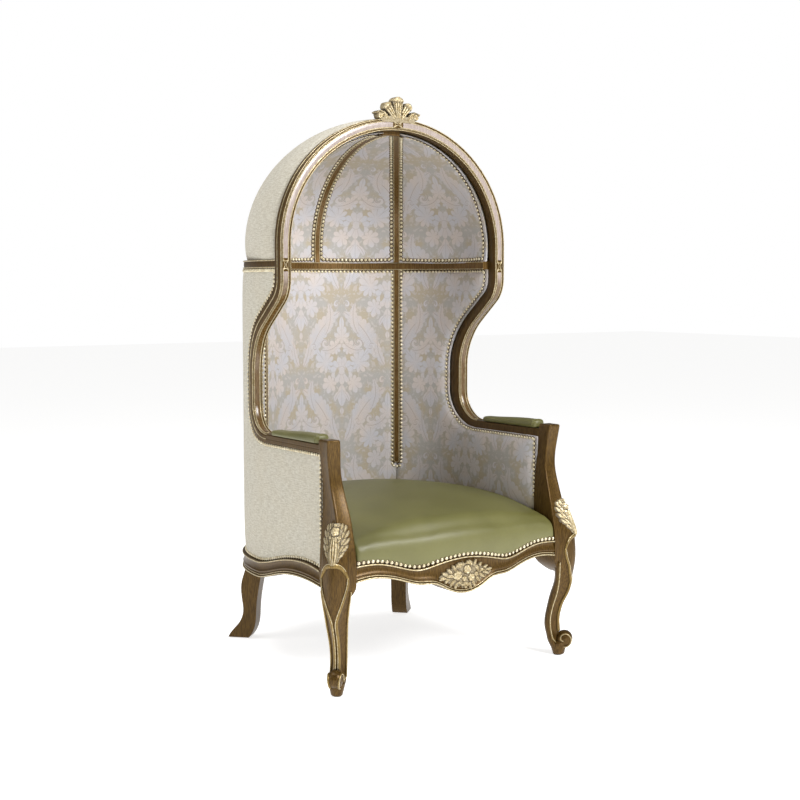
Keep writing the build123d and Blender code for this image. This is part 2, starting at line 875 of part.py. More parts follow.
# Keeps a plate along a plan plane's X axis
def keep_plate(plane):
    with BuildSketch(plane) as plate:
        Rectangle(far, rib_width, align=(Align.MIN, Align.CENTER))
    extrude(plate.sketch, amount=far, mode=Mode.INTERSECT)


# Bent ribs of the hood, which meet at the top of the arch
with BuildPart() as hood_rib_centre:
    build_lining(hood_rib_inside)
    keep_plate(Plane(origin=(0, hub_y, 0), x_dir=(0, 1, 0), z_dir=(0, 0, 1)))
finish(hood_rib_centre.part, "hood_rib_centre")

with BuildPart() as hood_rib_right:
    build_lining(hood_rib_inside)
    keep_plate(hood_rib_plane)
    keep_right_half(rib_width / 2)
finish_pair(hood_rib_right.part, "hood_rib")

# Padded gores between the ribs
with BuildPart() as front_gore_right:
    build_lining(hood_panel_inside)
    keep_side(hood_rib_plane, rib_width / 2, True)
finish_pair(front_gore_right.part, "hood_panel_front")

with BuildPart() as back_gore_right:
    build_lining(hood_panel_inside)
    keep_side(hood_rib_plane, rib_width / 2, False)
    keep_right_half(rib_width / 2)
finish_pair(back_gore_right.part, "hood_panel_back")


# Lobes of a carving, from the middle out to both sides
def carving_lobes(shares, half_width, height, base_z):
    for place, up, wide, tall, tilt in shares:
        for side in (-1, 1):
            with Locations((side * half_width * place, base_z + height * up)):
                Ellipse(half_width * wide, height * tall, rotation=side * tilt)


# Shell crest on top of the arch
with BuildPart() as crest:
    with BuildSketch(front_plane(arch_front_y + crest_setback_depth)):
        carving_lobes(crest_lobe_shares, crest_half_width, crest_height, spring_z + arch_rise)
        with Locations((0, spring_z)):
            Ellipse(frame_outer, arch_rise, mode=Mode.SUBTRACT)
    extrude(amount=-crest_depth)
finish(crest.part, "crest_carving")

# Flower carving on the front rail, which follows the rail's bow
with BuildPart() as apron_carving:
    with BuildSketch():
        add(front_rail_plan(apron_relief_depth))
    extrude(amount=far)
    with BuildSketch(front_plane(0)):
        carving_lobes(apron_lobe_shares, apron_half_width, apron_half_height, apron_z)
    extrude(amount=far, both=True, mode=Mode.INTERSECT)
    add(front_rail.part, mode=Mode.SUBTRACT)
finish(apron_carving.part, "apron_carving")

# Nail-on glides under the four feet
with BuildPart() as floor_glides:
    glide_out = frame_outer + back_leg_unit_width * back_glide_share
    back_glide = right_diagonal.from_local_coords((glide_out, 0, 0))
    with BuildSketch():
        with Locations((leg_x, leg_y), (back_glide.X, back_glide.Y)):
            Circle(glide_radius)
    extrude(amount=glide_height)
    mirror(about=Plane.YZ)
finish(floor_glides.part, "floor_glides")
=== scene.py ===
# Looks of the hooded armchair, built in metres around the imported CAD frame.
import json
import math

import bmesh
import bpy
import numpy as np
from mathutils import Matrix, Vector
from mathutils.bvhtree import BVHTree


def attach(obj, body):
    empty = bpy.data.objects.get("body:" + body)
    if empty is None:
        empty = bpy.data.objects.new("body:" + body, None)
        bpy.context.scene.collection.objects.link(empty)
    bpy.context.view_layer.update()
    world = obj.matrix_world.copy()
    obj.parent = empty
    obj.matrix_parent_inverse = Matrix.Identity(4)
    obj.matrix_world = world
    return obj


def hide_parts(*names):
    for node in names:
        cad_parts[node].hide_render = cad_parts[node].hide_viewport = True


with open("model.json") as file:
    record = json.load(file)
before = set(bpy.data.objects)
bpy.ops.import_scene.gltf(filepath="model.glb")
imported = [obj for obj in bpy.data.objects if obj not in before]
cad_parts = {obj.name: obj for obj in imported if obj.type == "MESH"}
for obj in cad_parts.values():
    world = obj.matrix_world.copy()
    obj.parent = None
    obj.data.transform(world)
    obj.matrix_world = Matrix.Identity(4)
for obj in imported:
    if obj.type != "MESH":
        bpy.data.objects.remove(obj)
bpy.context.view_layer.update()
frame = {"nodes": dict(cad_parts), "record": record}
nodes = frame["nodes"]
mm = 0.001
print("frame loaded:", len(nodes), "nodes")

chair = {
    "outer": 0.392,  # outside of the wooden frame, from the middle plane
    "roundY": 0.043,  # centre of the round back
    "archY": -0.087,
    "frameThickness": 0.035,
    "archRise": 0.368,
    "springZ": 1.2076,
    "beltLow": 1.142,
    "beltHigh": 1.166,
    "coverRecess": 0.004,  # how deep each layer lies under the outside of the wall
    "panelRecess": 0.050,
    "ribRecess": 0.055,
    "postBackY": -0.301,
    "postInsideX": 0.341,
    "hoodCentreY": -0.002,
    "hubY": -0.077,
    "ribAngle": 33.7,
    "ribWidth": 0.020,
    "panelDrop": 0.038,  # the same at the top of the hood
    "ribDrop": 0.043,
    "coverDrop": 0.003,
    "uprightFoot": 0.515,
    "coverSheet": 0.003,
    "clearance": 0.0002,
}
outer, roundY, archY, springZ = (chair[k] for k in ("outer", "roundY", "archY", "springZ"))
hoodY, beltLow, beltHigh = (chair[k] for k in ("hoodCentreY", "beltLow", "beltHigh"))
archBack = archY + chair["frameThickness"]
backS = roundY + outer * math.pi / 2  # length along the wall to the middle of the back
diagonalS = roundY + outer * math.pi / 4
otherSide = np.array([-1.0, 1.0, 1.0])  # mirrors a point over the middle plane


def feed(tree, socket, value):  # links a field or a socket, or sets a fixed value
    if isinstance(value, Field):
        value = value.socket
    if isinstance(value, bpy.types.NodeSocket):
        tree.links.new(value, socket)
    else:
        socket.default_value = (*value, 1.0) if isinstance(value, tuple) else value


class Field:  # a value that changes over a surface; arithmetic on it makes Math nodes
    def __init__(self, tree, socket):
        self.tree, self.socket = tree, socket

    def make(self, operation, *others):
        node = self.tree.nodes.new("ShaderNodeMath")
        node.operation = operation
        for socket, value in zip(node.inputs, (self,) + others):
            feed(self.tree, socket, value)
        return Field(self.tree, node.outputs[0])

    def __add__(self, other):
        return self.make("ADD", other)

    def __sub__(self, other):
        return self.make("SUBTRACT", other)

    def __mul__(self, other):
        return self.make("MULTIPLY", other)

    def __truediv__(self, other):
        return self.make("DIVIDE", other)

    def __pow__(self, other):
        return self.make("POWER", other)

    def __abs__(self):
        return self.make("ABSOLUTE")

    def sine(self):
        return self.make("SINE")

    def cosine(self):
        return self.make("COSINE")

    def atLeast(self, other):
        return self.make("MAXIMUM", other)

    def inverse(self):
        return (self * -1) + 1

    def smooth(self, low, high):  # 0 under low, 1 over high
        node = self.tree.nodes.new("ShaderNodeMapRange")
        node.interpolation_type = "SMOOTHSTEP"
        for label, value in (("Value", self), ("From Min", low), ("From Max", high)):
            feed(self.tree, node.inputs[label], value)
        return Field(self.tree, node.outputs["Result"])

    def nearZero(self, low, high):  # a line: 1 up to low on both sides of zero, 0 past high
        return abs(self).smooth(low, high).inverse()


def newGroup(name, values, outputs):  # takes a vector and some values, gives values
    tree = bpy.data.node_groups.new(name, "ShaderNodeTree")
    tree.interface.new_socket("Vector", in_out="INPUT", socket_type="NodeSocketVector")
    for label, value in values.items():
        socket = tree.interface.new_socket(label, in_out="INPUT", socket_type="NodeSocketFloat")
        socket.default_value = value
    for label in outputs:
        tree.interface.new_socket(label, in_out="OUTPUT", socket_type="NodeSocketFloat")
    return tree, tree.nodes.new("NodeGroupInput"), tree.nodes.new("NodeGroupOutput")


def splitVector(tree, socket):
    node = tree.nodes.new("ShaderNodeSeparateXYZ")
    tree.links.new(socket, node.inputs[0])
    return [Field(tree, out) for out in node.outputs]


def joinVector(*values):
    tree = values[0].tree
    node = tree.nodes.new("ShaderNodeCombineXYZ")
    for socket, value in zip(node.inputs, values):
        feed(tree, socket, value)
    return node.outputs[0]


def noiseField(tree, vector, scale, detail, rough, seed, distortion=0.0):
    node = tree.nodes.new("ShaderNodeTexNoise")
    node.noise_dimensions = "4D"
    labels = ("Vector", "W", "Scale", "Detail", "Roughness", "Distortion")
    for label, value in zip(labels, (vector, seed, scale, detail, rough, distortion)):
        feed(tree, node.inputs[label], value)
    return Field(tree, node.outputs["Fac"])


def mixColour(factor, first, second):
    node = factor.tree.nodes.new("ShaderNodeMix")
    node.data_type = "RGBA"
    for index, value in ((0, factor), (6, first), (7, second)):
        feed(factor.tree, node.inputs[index], value)
    return node.outputs[2]


def srgb(red, green, blue):  # from the usual 0 to 255 to the shader's linear values
    return tuple(
        c / 12.92 if c <= 0.04045 else ((c + 0.055) / 1.055) ** 2.4
        for c in (red / 255, green / 255, blue / 255)
    )


class Paint:  # a new material, its shader and the vector that its textures follow
    def __init__(self, name, follows=None, **settings):
        self.material = bpy.data.materials.new(name)
        self.material.use_nodes = True
        self.tree = self.material.node_tree
        self.shader = self.tree.nodes["Principled BSDF"]
        if follows == "UV":
            self.vector = self.tree.nodes.new("ShaderNodeUVMap").outputs["UV"]
        elif follows:
            self.vector = self.tree.nodes.new("ShaderNodeTexCoord").outputs[follows]
        self.set(**settings)

    def set(self, **values):
        for label, value in values.items():
            feed(self.tree, self.shader.inputs[label.replace("_", " ")], value)

    def noise(self, *values):
        return noiseField(self.tree, self.vector, *values)

    def place(self, group, **values):
        node = self.tree.nodes.new("ShaderNodeGroup")
        node.node_tree = group
        for label, value in {"Vector": self.vector, **values}.items():
            feed(self.tree, node.inputs[label], value)
        return [Field(self.tree, out) for out in node.outputs]

    def relief(self):  # the height of a carving, or how pale an inlay is; the pale is painted reflection
        node = self.tree.nodes.new("ShaderNodeAttribute")
        node.attribute_name = "relief"
        return Field(self.tree, node.outputs["Fac"])

    def finish(self, colour, rough, height, strength, distance):
        bump = self.tree.nodes.new("ShaderNodeBump")
        for label, value in (("Strength", strength), ("Distance", distance), ("Height", height)):
            feed(self.tree, bump.inputs[label], value)
        self.set(Base_Color=colour, Roughness=rough, Normal=bump.outputs["Normal"])
        return self.material


def makeWeaveGroup():
    tree, start, end = newGroup("weave", {"Pitch": 0.0008, "Slub": 0.5}, ("Height", "Shade"))
    u, v, _ = splitVector(tree, start.outputs["Vector"])
    pitch, slub = (Field(tree, start.outputs[label]) for label in ("Pitch", "Slub"))
    warp, weft = (abs(((way / pitch) * math.pi).sine()) for way in (u, v))
    turn = ((u / pitch).make("FLOOR") + (v / pitch).make("FLOOR")).make("PINGPONG", 1.0)
    height = warp * turn + weft * turn.inverse()
    rows = noiseField(tree, joinVector(u * 60.0, v * 900.0), 1.0, 2.0, 0.6, 3.0)
    columns = noiseField(tree, joinVector(u * 900.0, v * 60.0), 1.0, 2.0, 0.6, 7.0)
    shade = ((rows + columns) * 0.5 - 0.5) * slub + 0.5
    feed(tree, end.inputs["Height"], height + shade)
    feed(tree, end.inputs["Shade"], shade)
    return tree


def makeGrainGroup():
    tree, start, end = newGroup("woodGrain", {"Scale": 1.0}, ("Grain", "Cloud"))
    vector, scale = start.outputs["Vector"], Field(tree, start.outputs["Scale"])
    x, y, z = splitVector(tree, vector)
    along = joinVector(x * scale * 420.0, y * scale * 420.0, z * scale * 36.0)
    feed(tree, end.inputs["Grain"], noiseField(tree, along, 1.0, 4.0, 0.62, 1.0, 0.4))
    feed(tree, end.inputs["Cloud"], noiseField(tree, vector, 9.0, 3.0, 0.5, 5.0))
    return tree


def polar(at, centreX, centreY):
    dx, dy = at[0] - centreX, at[1] - centreY
    return (dx * dx + dy * dy).make("SQRT"), dy.make("ARCTAN2", dx)


def leafFrame(at, centreX, centreY, tilt, halfLength, bend):  # along and across a bent leaf
    dx, dy = at[0] - centreX, at[1] - centreY
    cosT, sinT = math.cos(tilt), math.sin(tilt)
    along = (dx * cosT + dy * sinT) / halfLength
    return along, (dy * cosT - dx * sinT) - along * along * bend


# each form of the damask gives its mask and the fine lines in it
def flower(at, centreX, centreY, radius, lobes, turn, depth, lean=0.0, ring=0.0):
    distance, angle = polar(at, centreX, centreY)
    edge = abs(((angle + turn) * (lobes / 2)).cosine())
    towards = (angle - lean).cosine() * (0.22 if lean else 0.0) + (0.86 if lean else 1.0)
    reach = (edge**0.6 * depth + (1 - depth)) * towards * radius
    body = (reach - distance).smooth(-0.0008, 0.0008)
    veins = ((angle + turn) * lobes).cosine().smooth(-1.0, -0.9).inverse()
    veins = veins * distance.smooth(radius * 0.1, radius * 0.3)
    veins = veins * distance.smooth(radius * 0.6, radius * 0.85).inverse()
    rings = (distance - radius * 0.3).nearZero(0.0, 0.0013) * ring
    outline = (reach - distance).nearZero(0.0003, 0.0014)
    return body, (veins * 0.6).atLeast(rings).atLeast(outline * 0.6) * body


def leaf(at, centreX, centreY, tilt, halfLength, halfWidth, bend=0.0):
    along, across = leafFrame(at, centreX, centreY, tilt, halfLength, bend)
    body = (along * along).inverse().atLeast(0.0) ** 0.7 * halfWidth - abs(across)
    lines = across.nearZero(0.0, 0.0011).atLeast(body.nearZero(0.0003, 0.0013) * 0.6)
    mask = body.smooth(-0.0006, 0.0006)
    return mask, lines * mask


def acanthus(at, centreX, centreY, tilt, halfLength, halfWidth, bend, lobes):
    along, across = leafFrame(at, centreX, centreY, tilt, halfLength, bend)
    width = abs(across)
    notch = abs((along * (lobes * 1.6) - width * 70.0).sine()) ** 0.5
    reach = (along * along).inverse().atLeast(0.0) ** 0.62 * (notch * 0.34 + 0.66)
    reach = reach * (along * -0.2 + 1.0) * halfWidth
    mask = (reach - width).smooth(-0.0007, 0.0007)
    veins = (along * (halfLength * 720.0) - width * 1150.0).sine().smooth(0.5, 1.0)
    lines = across.nearZero(0.0003, 0.0014).atLeast(veins * 0.42)
    return mask, lines.atLeast((reach - width).nearZero(0.0003, 0.0014) * 0.6) * mask


def volute(at, centreX, centreY, radius, hand):
    distance, angle = polar(at, centreX, centreY)
    turns = ((distance + 0.002).make("LOGARITHM", math.e) * 3.1 + angle * hand).sine()
    disc = distance.smooth(radius - 0.0006, radius + 0.0006).inverse()
    groove = turns.smooth(-0.5, -0.1) * turns.smooth(0.1, 0.5).inverse()
    return disc * turns.smooth(-0.8, -0.4), disc * groove


damask = {
    "width": 0.35,  # one repeat, with a half drop
    "height": 0.246,
    "origin": np.array([0.561, 0.822]),  # length along the wall and height of a palmette
    "palmette": (  # from the lowest layer up: form, centre, size and so on
        (flower, 0.0, -0.005, 0.046, 11.0, math.pi / 2, 0.28, 0.0, 0.7),
        (flower, 0.064, 0.020, 0.045, 9.0, 0.2, 0.5, 0.7),
        (flower, 0.024, 0.066, 0.030, 7.0, 0.9, 0.5, 1.1),
        (flower, 0.0, 0.104, 0.034, 7.0, math.pi / 2, 0.55, 1.57),
        (leaf, 0.0, 0.146, math.pi / 2, 0.024, 0.010),
        (flower, 0.046, -0.044, 0.034, 7.0, 0.4, 0.5, -0.8),
        (leaf, 0.0, -0.086, math.pi / 2, 0.036, 0.018),
        (leaf, 0.021, -0.086, 2.2, 0.022, 0.008, 0.004),
        (leaf, 0.0, -0.136, math.pi / 2, 0.012, 0.008),
        (leaf, 0.104, 0.062, 0.9, 0.026, 0.009, 0.004),
    ),
    "plumes": (  # these sweep up from under each palmette, past the edge of its cell
        (acanthus, 0.088, -0.122, 0.86, 0.098, 0.032, -0.020, 9.0),
        (acanthus, 0.130, -0.084, 1.45, 0.052, 0.017, 0.014, 6.0),
        (acanthus, 0.032, -0.196, 1.25, 0.042, 0.014, 0.008, 5.0),
        (acanthus, 0.132, -0.182, 0.30, 0.036, 0.013, 0.010, 5.0),
        (volute, 0.110, -0.160, 0.017, -1.0),
        (volute, 0.062, -0.172, 0.012, -1.0),
        (volute, 0.156, -0.036, 0.012, 1.0),
    ),
    "drops": (0.019, -0.010, 1.9, 0.019, 0.0072),  # dark, in the middle of the palmette
    "rose": srgb(203, 193, 187),
    "lavender": srgb(191, 191, 197),
    "line": srgb(136, 120, 104),
    "beige": srgb(178, 167, 148),
    "grey": srgb(173, 170, 166),
    "thread": srgb(120, 112, 104),
}


def makeDamaskGroup():
    tree, start, end = newGroup("damaskPattern", {}, ("Motif", "Line", "Tint", "Ground"))
    width, height, vector = damask["width"], damask["height"], start.outputs["Vector"]
    wobble = noiseField(tree, vector, 30.0, 2.0, 0.5, 2.0)
    u, v, _ = splitVector(tree, vector)
    u = u + (wobble - 0.5) * 0.004

    def wrapped(value, size):
        return (value + size / 2).make("FLOORED_MODULO", size) - size / 2

    ua, va = wrapped(u, width), wrapped(v, height * 2)
    ub, vb = wrapped(u + width / 2, width), wrapped(v + height, height * 2)
    # the two lattices of the half drop: keep the one whose ogee holds the point
    lineA = ((va * (math.pi / height)).cosine() + 1) * (width / 4)
    insideA = lineA.make("GREATER_THAN", abs(ua)) * abs(va).make("LESS_THAN", height)

    def pick(first, second):
        return first * insideA + second * insideA.inverse()

    x, y = abs(pick(ua, ub)), pick(va, vb)
    parts = [form((x, y), *values) for form, *values in damask["palmette"]]
    for at in ((abs(ua), va), (abs(ub), vb)):
        parts += [form(at, *values) for form, *values in damask["plumes"]]
    motif, lines = parts[0]
    for mask, detail in parts[1:]:
        lines = (lines * mask.inverse()).atLeast(detail)
        motif = motif.atLeast(mask)
    drop, _ = leaf((x, y), *damask["drops"])
    motif, lines = motif * drop.inverse(), lines * drop.inverse()
    # small leaves that fill the ground, mirrored with the cell
    filler = noiseField(tree, joinVector(x, y), 62.0, 1.5, 0.5, 11.0, 0.8)
    clouds = joinVector(x, v)
    results = {
        "Motif": motif.atLeast(filler.smooth(0.55, 0.58) * 0.5),
        "Line": lines,
        "Tint": noiseField(tree, clouds, 15.0, 1.5, 0.5, 4.0).smooth(0.28, 0.72),
        "Ground": noiseField(tree, clouds, 18.0, 1.0, 0.5, 8.0).smooth(0.38, 0.62),
    }
    for label, value in results.items():
        feed(tree, end.inputs[label], value)
    return tree


weaveGroup, grainGroup, damaskGroup = makeWeaveGroup(), makeGrainGroup(), makeDamaskGroup()


def makeDamask():
    paint = Paint("damaskLining", "UV", Sheen_Weight=0.12, Sheen_Roughness=0.4)
    motif, line, tint, ground = paint.place(damaskGroup)
    height, threads = paint.place(weaveGroup, Pitch=0.0007, Slub=0.6)
    under = mixColour(ground, damask["beige"], damask["grey"])
    over = mixColour(tint, damask["rose"], damask["lavender"])
    over = mixColour(line * 0.6, over, damask["line"])
    colour = mixColour(motif, under, over)
    colour = mixColour(threads.smooth(0.35, 0.65) * 0.16, colour, damask["thread"])
    height = height * 0.3 + motif * 0.8 - line * 0.35
    return paint.finish(colour, motif * -0.16 + 0.68, height, 0.5, 0.0005)


def makeLinen():
    paint = Paint("creamLinen", "UV", Sheen_Weight=0.3, Sheen_Roughness=0.5)
    height, shade = paint.place(weaveGroup, Pitch=0.0011, Slub=1.3)
    cloud = paint.noise(14.0, 3.0, 0.5, 6.0)
    u, v, _ = splitVector(paint.tree, paint.vector)
    rows = noiseField(paint.tree, joinVector(u * 48.0, v * 320.0), 1.0, 3.0, 0.65, 14.0)
    columns = noiseField(paint.tree, joinVector(u * 320.0, v * 48.0), 1.0, 3.0, 0.65, 15.0)
    slub = rows * 0.65 + columns * 0.35
    colour = mixColour(shade.smooth(0.3, 0.7), srgb(190, 184, 166), srgb(226, 222, 208))
    colour = mixColour(slub.smooth(0.45, 0.57) * 0.75, colour, srgb(178, 169, 147))
    colour = mixColour(cloud.smooth(0.3, 0.75) * 0.3, colour, srgb(206, 196, 172))
    return paint.finish(colour, 0.85, height + shade * 1.5, 0.55, 0.0007)


def makeLeather():
    paint = Paint("oliveLeather", "Object", Coat_Weight=0.25, Coat_Roughness=0.42)
    cells = paint.tree.nodes.new("ShaderNodeTexVoronoi")
    cells.feature = "DISTANCE_TO_EDGE"
    feed(paint.tree, cells.inputs["Scale"], 620.0)
    feed(paint.tree, cells.inputs["Vector"], paint.vector)
    pebble = Field(paint.tree, cells.outputs["Distance"]).smooth(0.0, 0.32)
    cloud, fine = paint.noise(7.0, 4.0, 0.55, 2.0), paint.noise(240.0, 2.0, 0.5, 9.0)
    colour = mixColour(cloud.smooth(0.3, 0.72), srgb(95, 93, 46), srgb(110, 108, 58))
    # darker in the creases between the pebbles: painted shade
    colour = mixColour(pebble.inverse() * 0.3, colour, srgb(80, 77, 36))
    rough = cloud * 0.14 + fine * 0.08 + 0.34
    return paint.finish(colour, rough, pebble + fine * 0.4, 0.3, 0.00035)


def makeWood(name, dark, light, rough, coat, metal):
    paint = Paint(
        name, "Object", Coat_Weight=coat, Coat_Roughness=0.22, Metallic=metal, Specular_IOR_Level=0.2
    )
    fine, cloud = paint.place(grainGroup, Scale=1.0)
    colour = mixColour(fine.smooth(0.36, 0.62) * 0.8 + cloud * 0.2, dark, light)
    speck = paint.noise(900.0, 1.0, 0.5, 12.0)
    colour = mixColour(speck.smooth(0.68, 0.74) * 0.5, colour, tuple(c * 0.45 for c in dark))
    return paint.finish(colour, fine * 0.16 + cloud * 0.1 + (rough - 0.1), fine, 0.12, 0.0004)


def makeReflectionInlay():  # pale on the arch, mostly a painted reflection of the bright studio, brown on the wings
    paint = Paint("reflectionInlayPaint", "Object", Coat_Weight=0.4, Coat_Roughness=0.2)
    fine, _ = paint.place(grainGroup, Scale=1.0)
    dark = mixColour(fine.smooth(0.3, 0.7), srgb(78, 56, 24), srgb(110, 84, 46))
    # the pale tone paints the arch's reflection of the studio, on top of the paint's own colour
    light = mixColour(fine.smooth(0.3, 0.7), srgb(142, 128, 120), srgb(172, 159, 152))
    return paint.finish(mixColour(paint.relief(), dark, light), fine * 0.15 + 0.2, fine, 0.08, 0.0003)


def makeGold(name, bright, dull, metal, hollow=None):
    paint = Paint(name, "Object")
    wear = paint.noise(160.0, 4.0, 0.6, 3.0)
    colour = mixColour(wear.smooth(0.35, 0.65), bright, dull)
    if hollow:  # the antique wash that stays in the hollows of a carving
        hollowness = paint.relief().smooth(0.1, 0.6).inverse()
        colour = mixColour(hollowness * 0.85, colour, hollow)
        paint.set(Metallic=hollowness * -0.5 + metal)
    else:
        paint.set(Metallic=wear * -0.2 + metal)
    return paint.finish(colour, wear * 0.25 + 0.24, wear, 0.15, 0.0003)


def makePlain(name, colour, rough, scale):
    paint = Paint(name, "Object")
    cloud = paint.noise(scale, 4.0, 0.6, 2.0)
    dark, light = tuple(c * 0.8 for c in colour), tuple(min(1.0, c * 1.2) for c in colour)
    mixed = mixColour(cloud.smooth(0.3, 0.7), dark, light)
    return paint.finish(mixed, cloud * 0.2 + (rough - 0.1), cloud, 0.15, 0.0004)


look = {
    "damask": makeDamask(),
    "linen": makeLinen(),
    "leather": makeLeather(),
    "frameWood": makeWood("bronzePaint", srgb(60, 41, 11), srgb(97, 73, 31), 0.36, 0.14, 0.45),
    "inlay": makeReflectionInlay(),
    "rib": makeWood("bronzeBrown", srgb(78, 56, 22), srgb(120, 92, 50), 0.3, 0.3, 0.4),
    "bronze": makeWood("rubbedBronze", srgb(98, 77, 36), srgb(142, 119, 68), 0.34, 0.2, 0.6),
    "gold": makeGold("goldLine", srgb(214, 201, 168), srgb(172, 153, 110), 0.65),
    "nail": makeGold("nailHeads", srgb(236, 228, 202), srgb(196, 180, 142), 0.7),
    # dark discs under the nail heads: painted shadow
    "rim": makePlain("nailShadowDisc", srgb(72, 54, 26), 0.6, 500.0),
    "carving": makeGold("gildedCarving", srgb(216, 202, 168), srgb(172, 152, 108), 0.5, srgb(52, 36, 14)),
    "plainWood": makePlain("bareWood", srgb(186, 156, 118), 0.7, 60.0),
    "dust": makePlain("dustCloth", srgb(46, 44, 42), 0.9, 400.0),
    "steel": makePlain("screwSteel", srgb(170, 170, 172), 0.35, 300.0),
    "glide": makePlain("glidePlastic", srgb(70, 62, 56), 0.5, 200.0),
}
print("materials made")


def gridFaces(rows, columns, closeRows=False, closeColumns=False):
    i = np.arange(rows if closeRows else rows - 1)[:, None]
    j = np.arange(columns if closeColumns else columns - 1)[None, :]
    down, along = (i + 1) % rows * columns, (j + 1) % columns
    quads = np.broadcast_arrays(i * columns + j, i * columns + along, down + along, down + j)
    return np.stack(quads, -1).reshape(-1, 4)


def addObject(name, data):
    made = bpy.data.objects.new(name, data)
    bpy.context.scene.collection.objects.link(made)
    return made


def claim(piece, replaced=()):
    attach(piece, "root")
    if replaced:
        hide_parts(*replaced)
    return piece


class Shell:  # gathers vertices and faces of several small forms into one mesh
    def __init__(self):
        self.points, self.faces, self.relief, self.uvs, self.count = [], [], [], [], 0

    def add(self, points, faces, relief=None, uv=None):
        points = np.asarray(points, float).reshape(-1, 3)
        self.points.append(points)
        self.faces.extend([[int(k) + self.count for k in face] for face in faces])
        relief = np.ones(len(points)) if relief is None else np.asarray(relief, float).ravel()
        self.relief.append(relief)
        self.uvs.append(points[:, :2] if uv is None else np.asarray(uv, float).reshape(-1, 2))
        self.count += len(points)

    def loft(self, rings, closed=False):  # joins rings of points in order, with a cap on each end
        rows, columns = rings.shape[:2]
        faces = gridFaces(rows, columns, closed, True).tolist()
        if not closed:
            first = list(range(columns))
            faces += [first[::-1], [(rows - 1) * columns + k for k in first]]
        self.add(rings, faces)

    def mirrored(self):
        other = Shell()
        other.points = [p * otherSide for p in self.points]
        other.faces = [face[::-1] for face in self.faces]
        other.relief, other.count = list(self.relief), self.count
        other.uvs = [uv * otherSide[:2] for uv in self.uvs]
        return other

    def both(self):  # with its mirror image in one mesh
        other, whole = self.mirrored(), Shell()
        whole.points, whole.relief = self.points + other.points, self.relief + other.relief
        whole.uvs, whole.count = self.uvs + other.uvs, 2 * self.count
        whole.faces = self.faces + [[k + self.count for k in face] for face in other.faces]
        return whole

    def piece(self, name, material, slotName, replaced=(), sharpAngle=None, weld=0.0):
        mesh = bpy.data.meshes.new(name)
        mesh.from_pydata(np.concatenate(self.points).tolist(), [], self.faces)
        corners = np.zeros(len(mesh.loops), np.int64)
        mesh.loops.foreach_get("vertex_index", corners)
        uvs = np.concatenate(self.uvs)[corners].astype(np.float32)
        mesh.uv_layers.new(name="UVMap").data.foreach_set("uv", uvs.ravel())
        relief = mesh.attributes.new("relief", "FLOAT", "POINT")
        relief.data.foreach_set("value", np.concatenate(self.relief).astype(np.float32))
        if weld:
            edit = bmesh.new()
            edit.from_mesh(mesh)
            bmesh.ops.remove_doubles(edit, verts=edit.verts, dist=weld)
            edit.to_mesh(mesh)
            edit.free()
        mesh.polygons.foreach_set("use_smooth", [True] * len(mesh.polygons))
        if sharpAngle:
            mesh.set_sharp_from_angle(angle=math.radians(sharpAngle))
        mesh.materials.append(look[material])
        return claim(addObject(name, mesh), replaced)

    def pair(self, name, material, slotName, node=None, sharpAngle=None, weld=0.0):
        made = []
        for side, shell in (("right", self), ("left", self.mirrored())):
            replaced = (f"{node}_{side}",) if node else ()
            made.append(shell.piece(f"{name}_{side}", material, slotName, replaced, sharpAngle, weld))
        return made


def smoothStep(low, high, value):
    t = np.clip((value - low) / (high - low), 0, 1)
    return t * t * (3 - 2 * t)


def unit(vectors):
    vectors = np.asarray(vectors, float)
    return vectors / np.maximum(np.linalg.norm(vectors, axis=-1, keepdims=True), 1e-12)


def spline(places, values, at):  # natural cubic through the points
    places, values, at = (np.asarray(a, float) for a in (places, values, at))
    order = np.argsort(places)
    x, y = places[order], values[order]
    n, h = len(x), np.diff(x)
    matrix, right = np.eye(n), np.zeros(n)
    for k in range(1, n - 1):
        matrix[k, k - 1 : k + 2] = h[k - 1], 2 * (h[k - 1] + h[k]), h[k]
        right[k] = 6 * ((y[k + 1] - y[k]) / h[k] - (y[k] - y[k - 1]) / h[k - 1])
    bend = np.linalg.solve(matrix, right)
    k = np.clip(np.searchsorted(x, at) - 1, 0, n - 2)
    a, b = (x[k + 1] - at) / h[k], (at - x[k]) / h[k]
    curve = ((a**3 - a) * bend[k] + (b**3 - b) * bend[k + 1]) * h[k] ** 2 / 6
    return a * y[k] + b * y[k + 1] + curve


def resample(path, step):  # even steps by the first three values of each row
    path = np.asarray(path, float)
    lengths = np.concatenate([[0], np.cumsum(np.linalg.norm(np.diff(path[:, :3], axis=0), axis=1))])
    count = max(2, int(round(lengths[-1] / step)) + 1)
    at = np.linspace(0, lengths[-1], count)
    return np.stack([np.interp(at, lengths, column) for column in path.T], 1)


def tube(shell, path, radius, sides=6, closed=False, squash=1.0, normals=None):
    path = np.asarray(path, float)
    ahead = np.roll(path, -1, 0) - np.roll(path, 1, 0)
    if not closed:
        ahead[0], ahead[-1] = path[1] - path[0], path[-1] - path[-2]
    ahead = unit(ahead)
    if normals is None:
        normal = unit(np.cross(ahead[0], [0.3, 0.5, 0.81]))
        normals = np.zeros_like(path)
        for k in range(len(path)):
            normal = unit(normal - ahead[k] * np.dot(normal, ahead[k]))
            normals[k] = normal
    normals = unit(normals - ahead * np.sum(ahead * normals, 1, keepdims=True))
    across = np.cross(ahead, normals)
    radii = np.broadcast_to(np.asarray(radius, float), (len(path),))[:, None, None]
    angles = np.linspace(0, 2 * math.pi, sides, endpoint=False)[None, :, None]
    ring = np.cos(angles) * across[:, None] + squash * np.sin(angles) * normals[:, None]
    shell.loft(path[:, None, :] + radii * ring, closed)


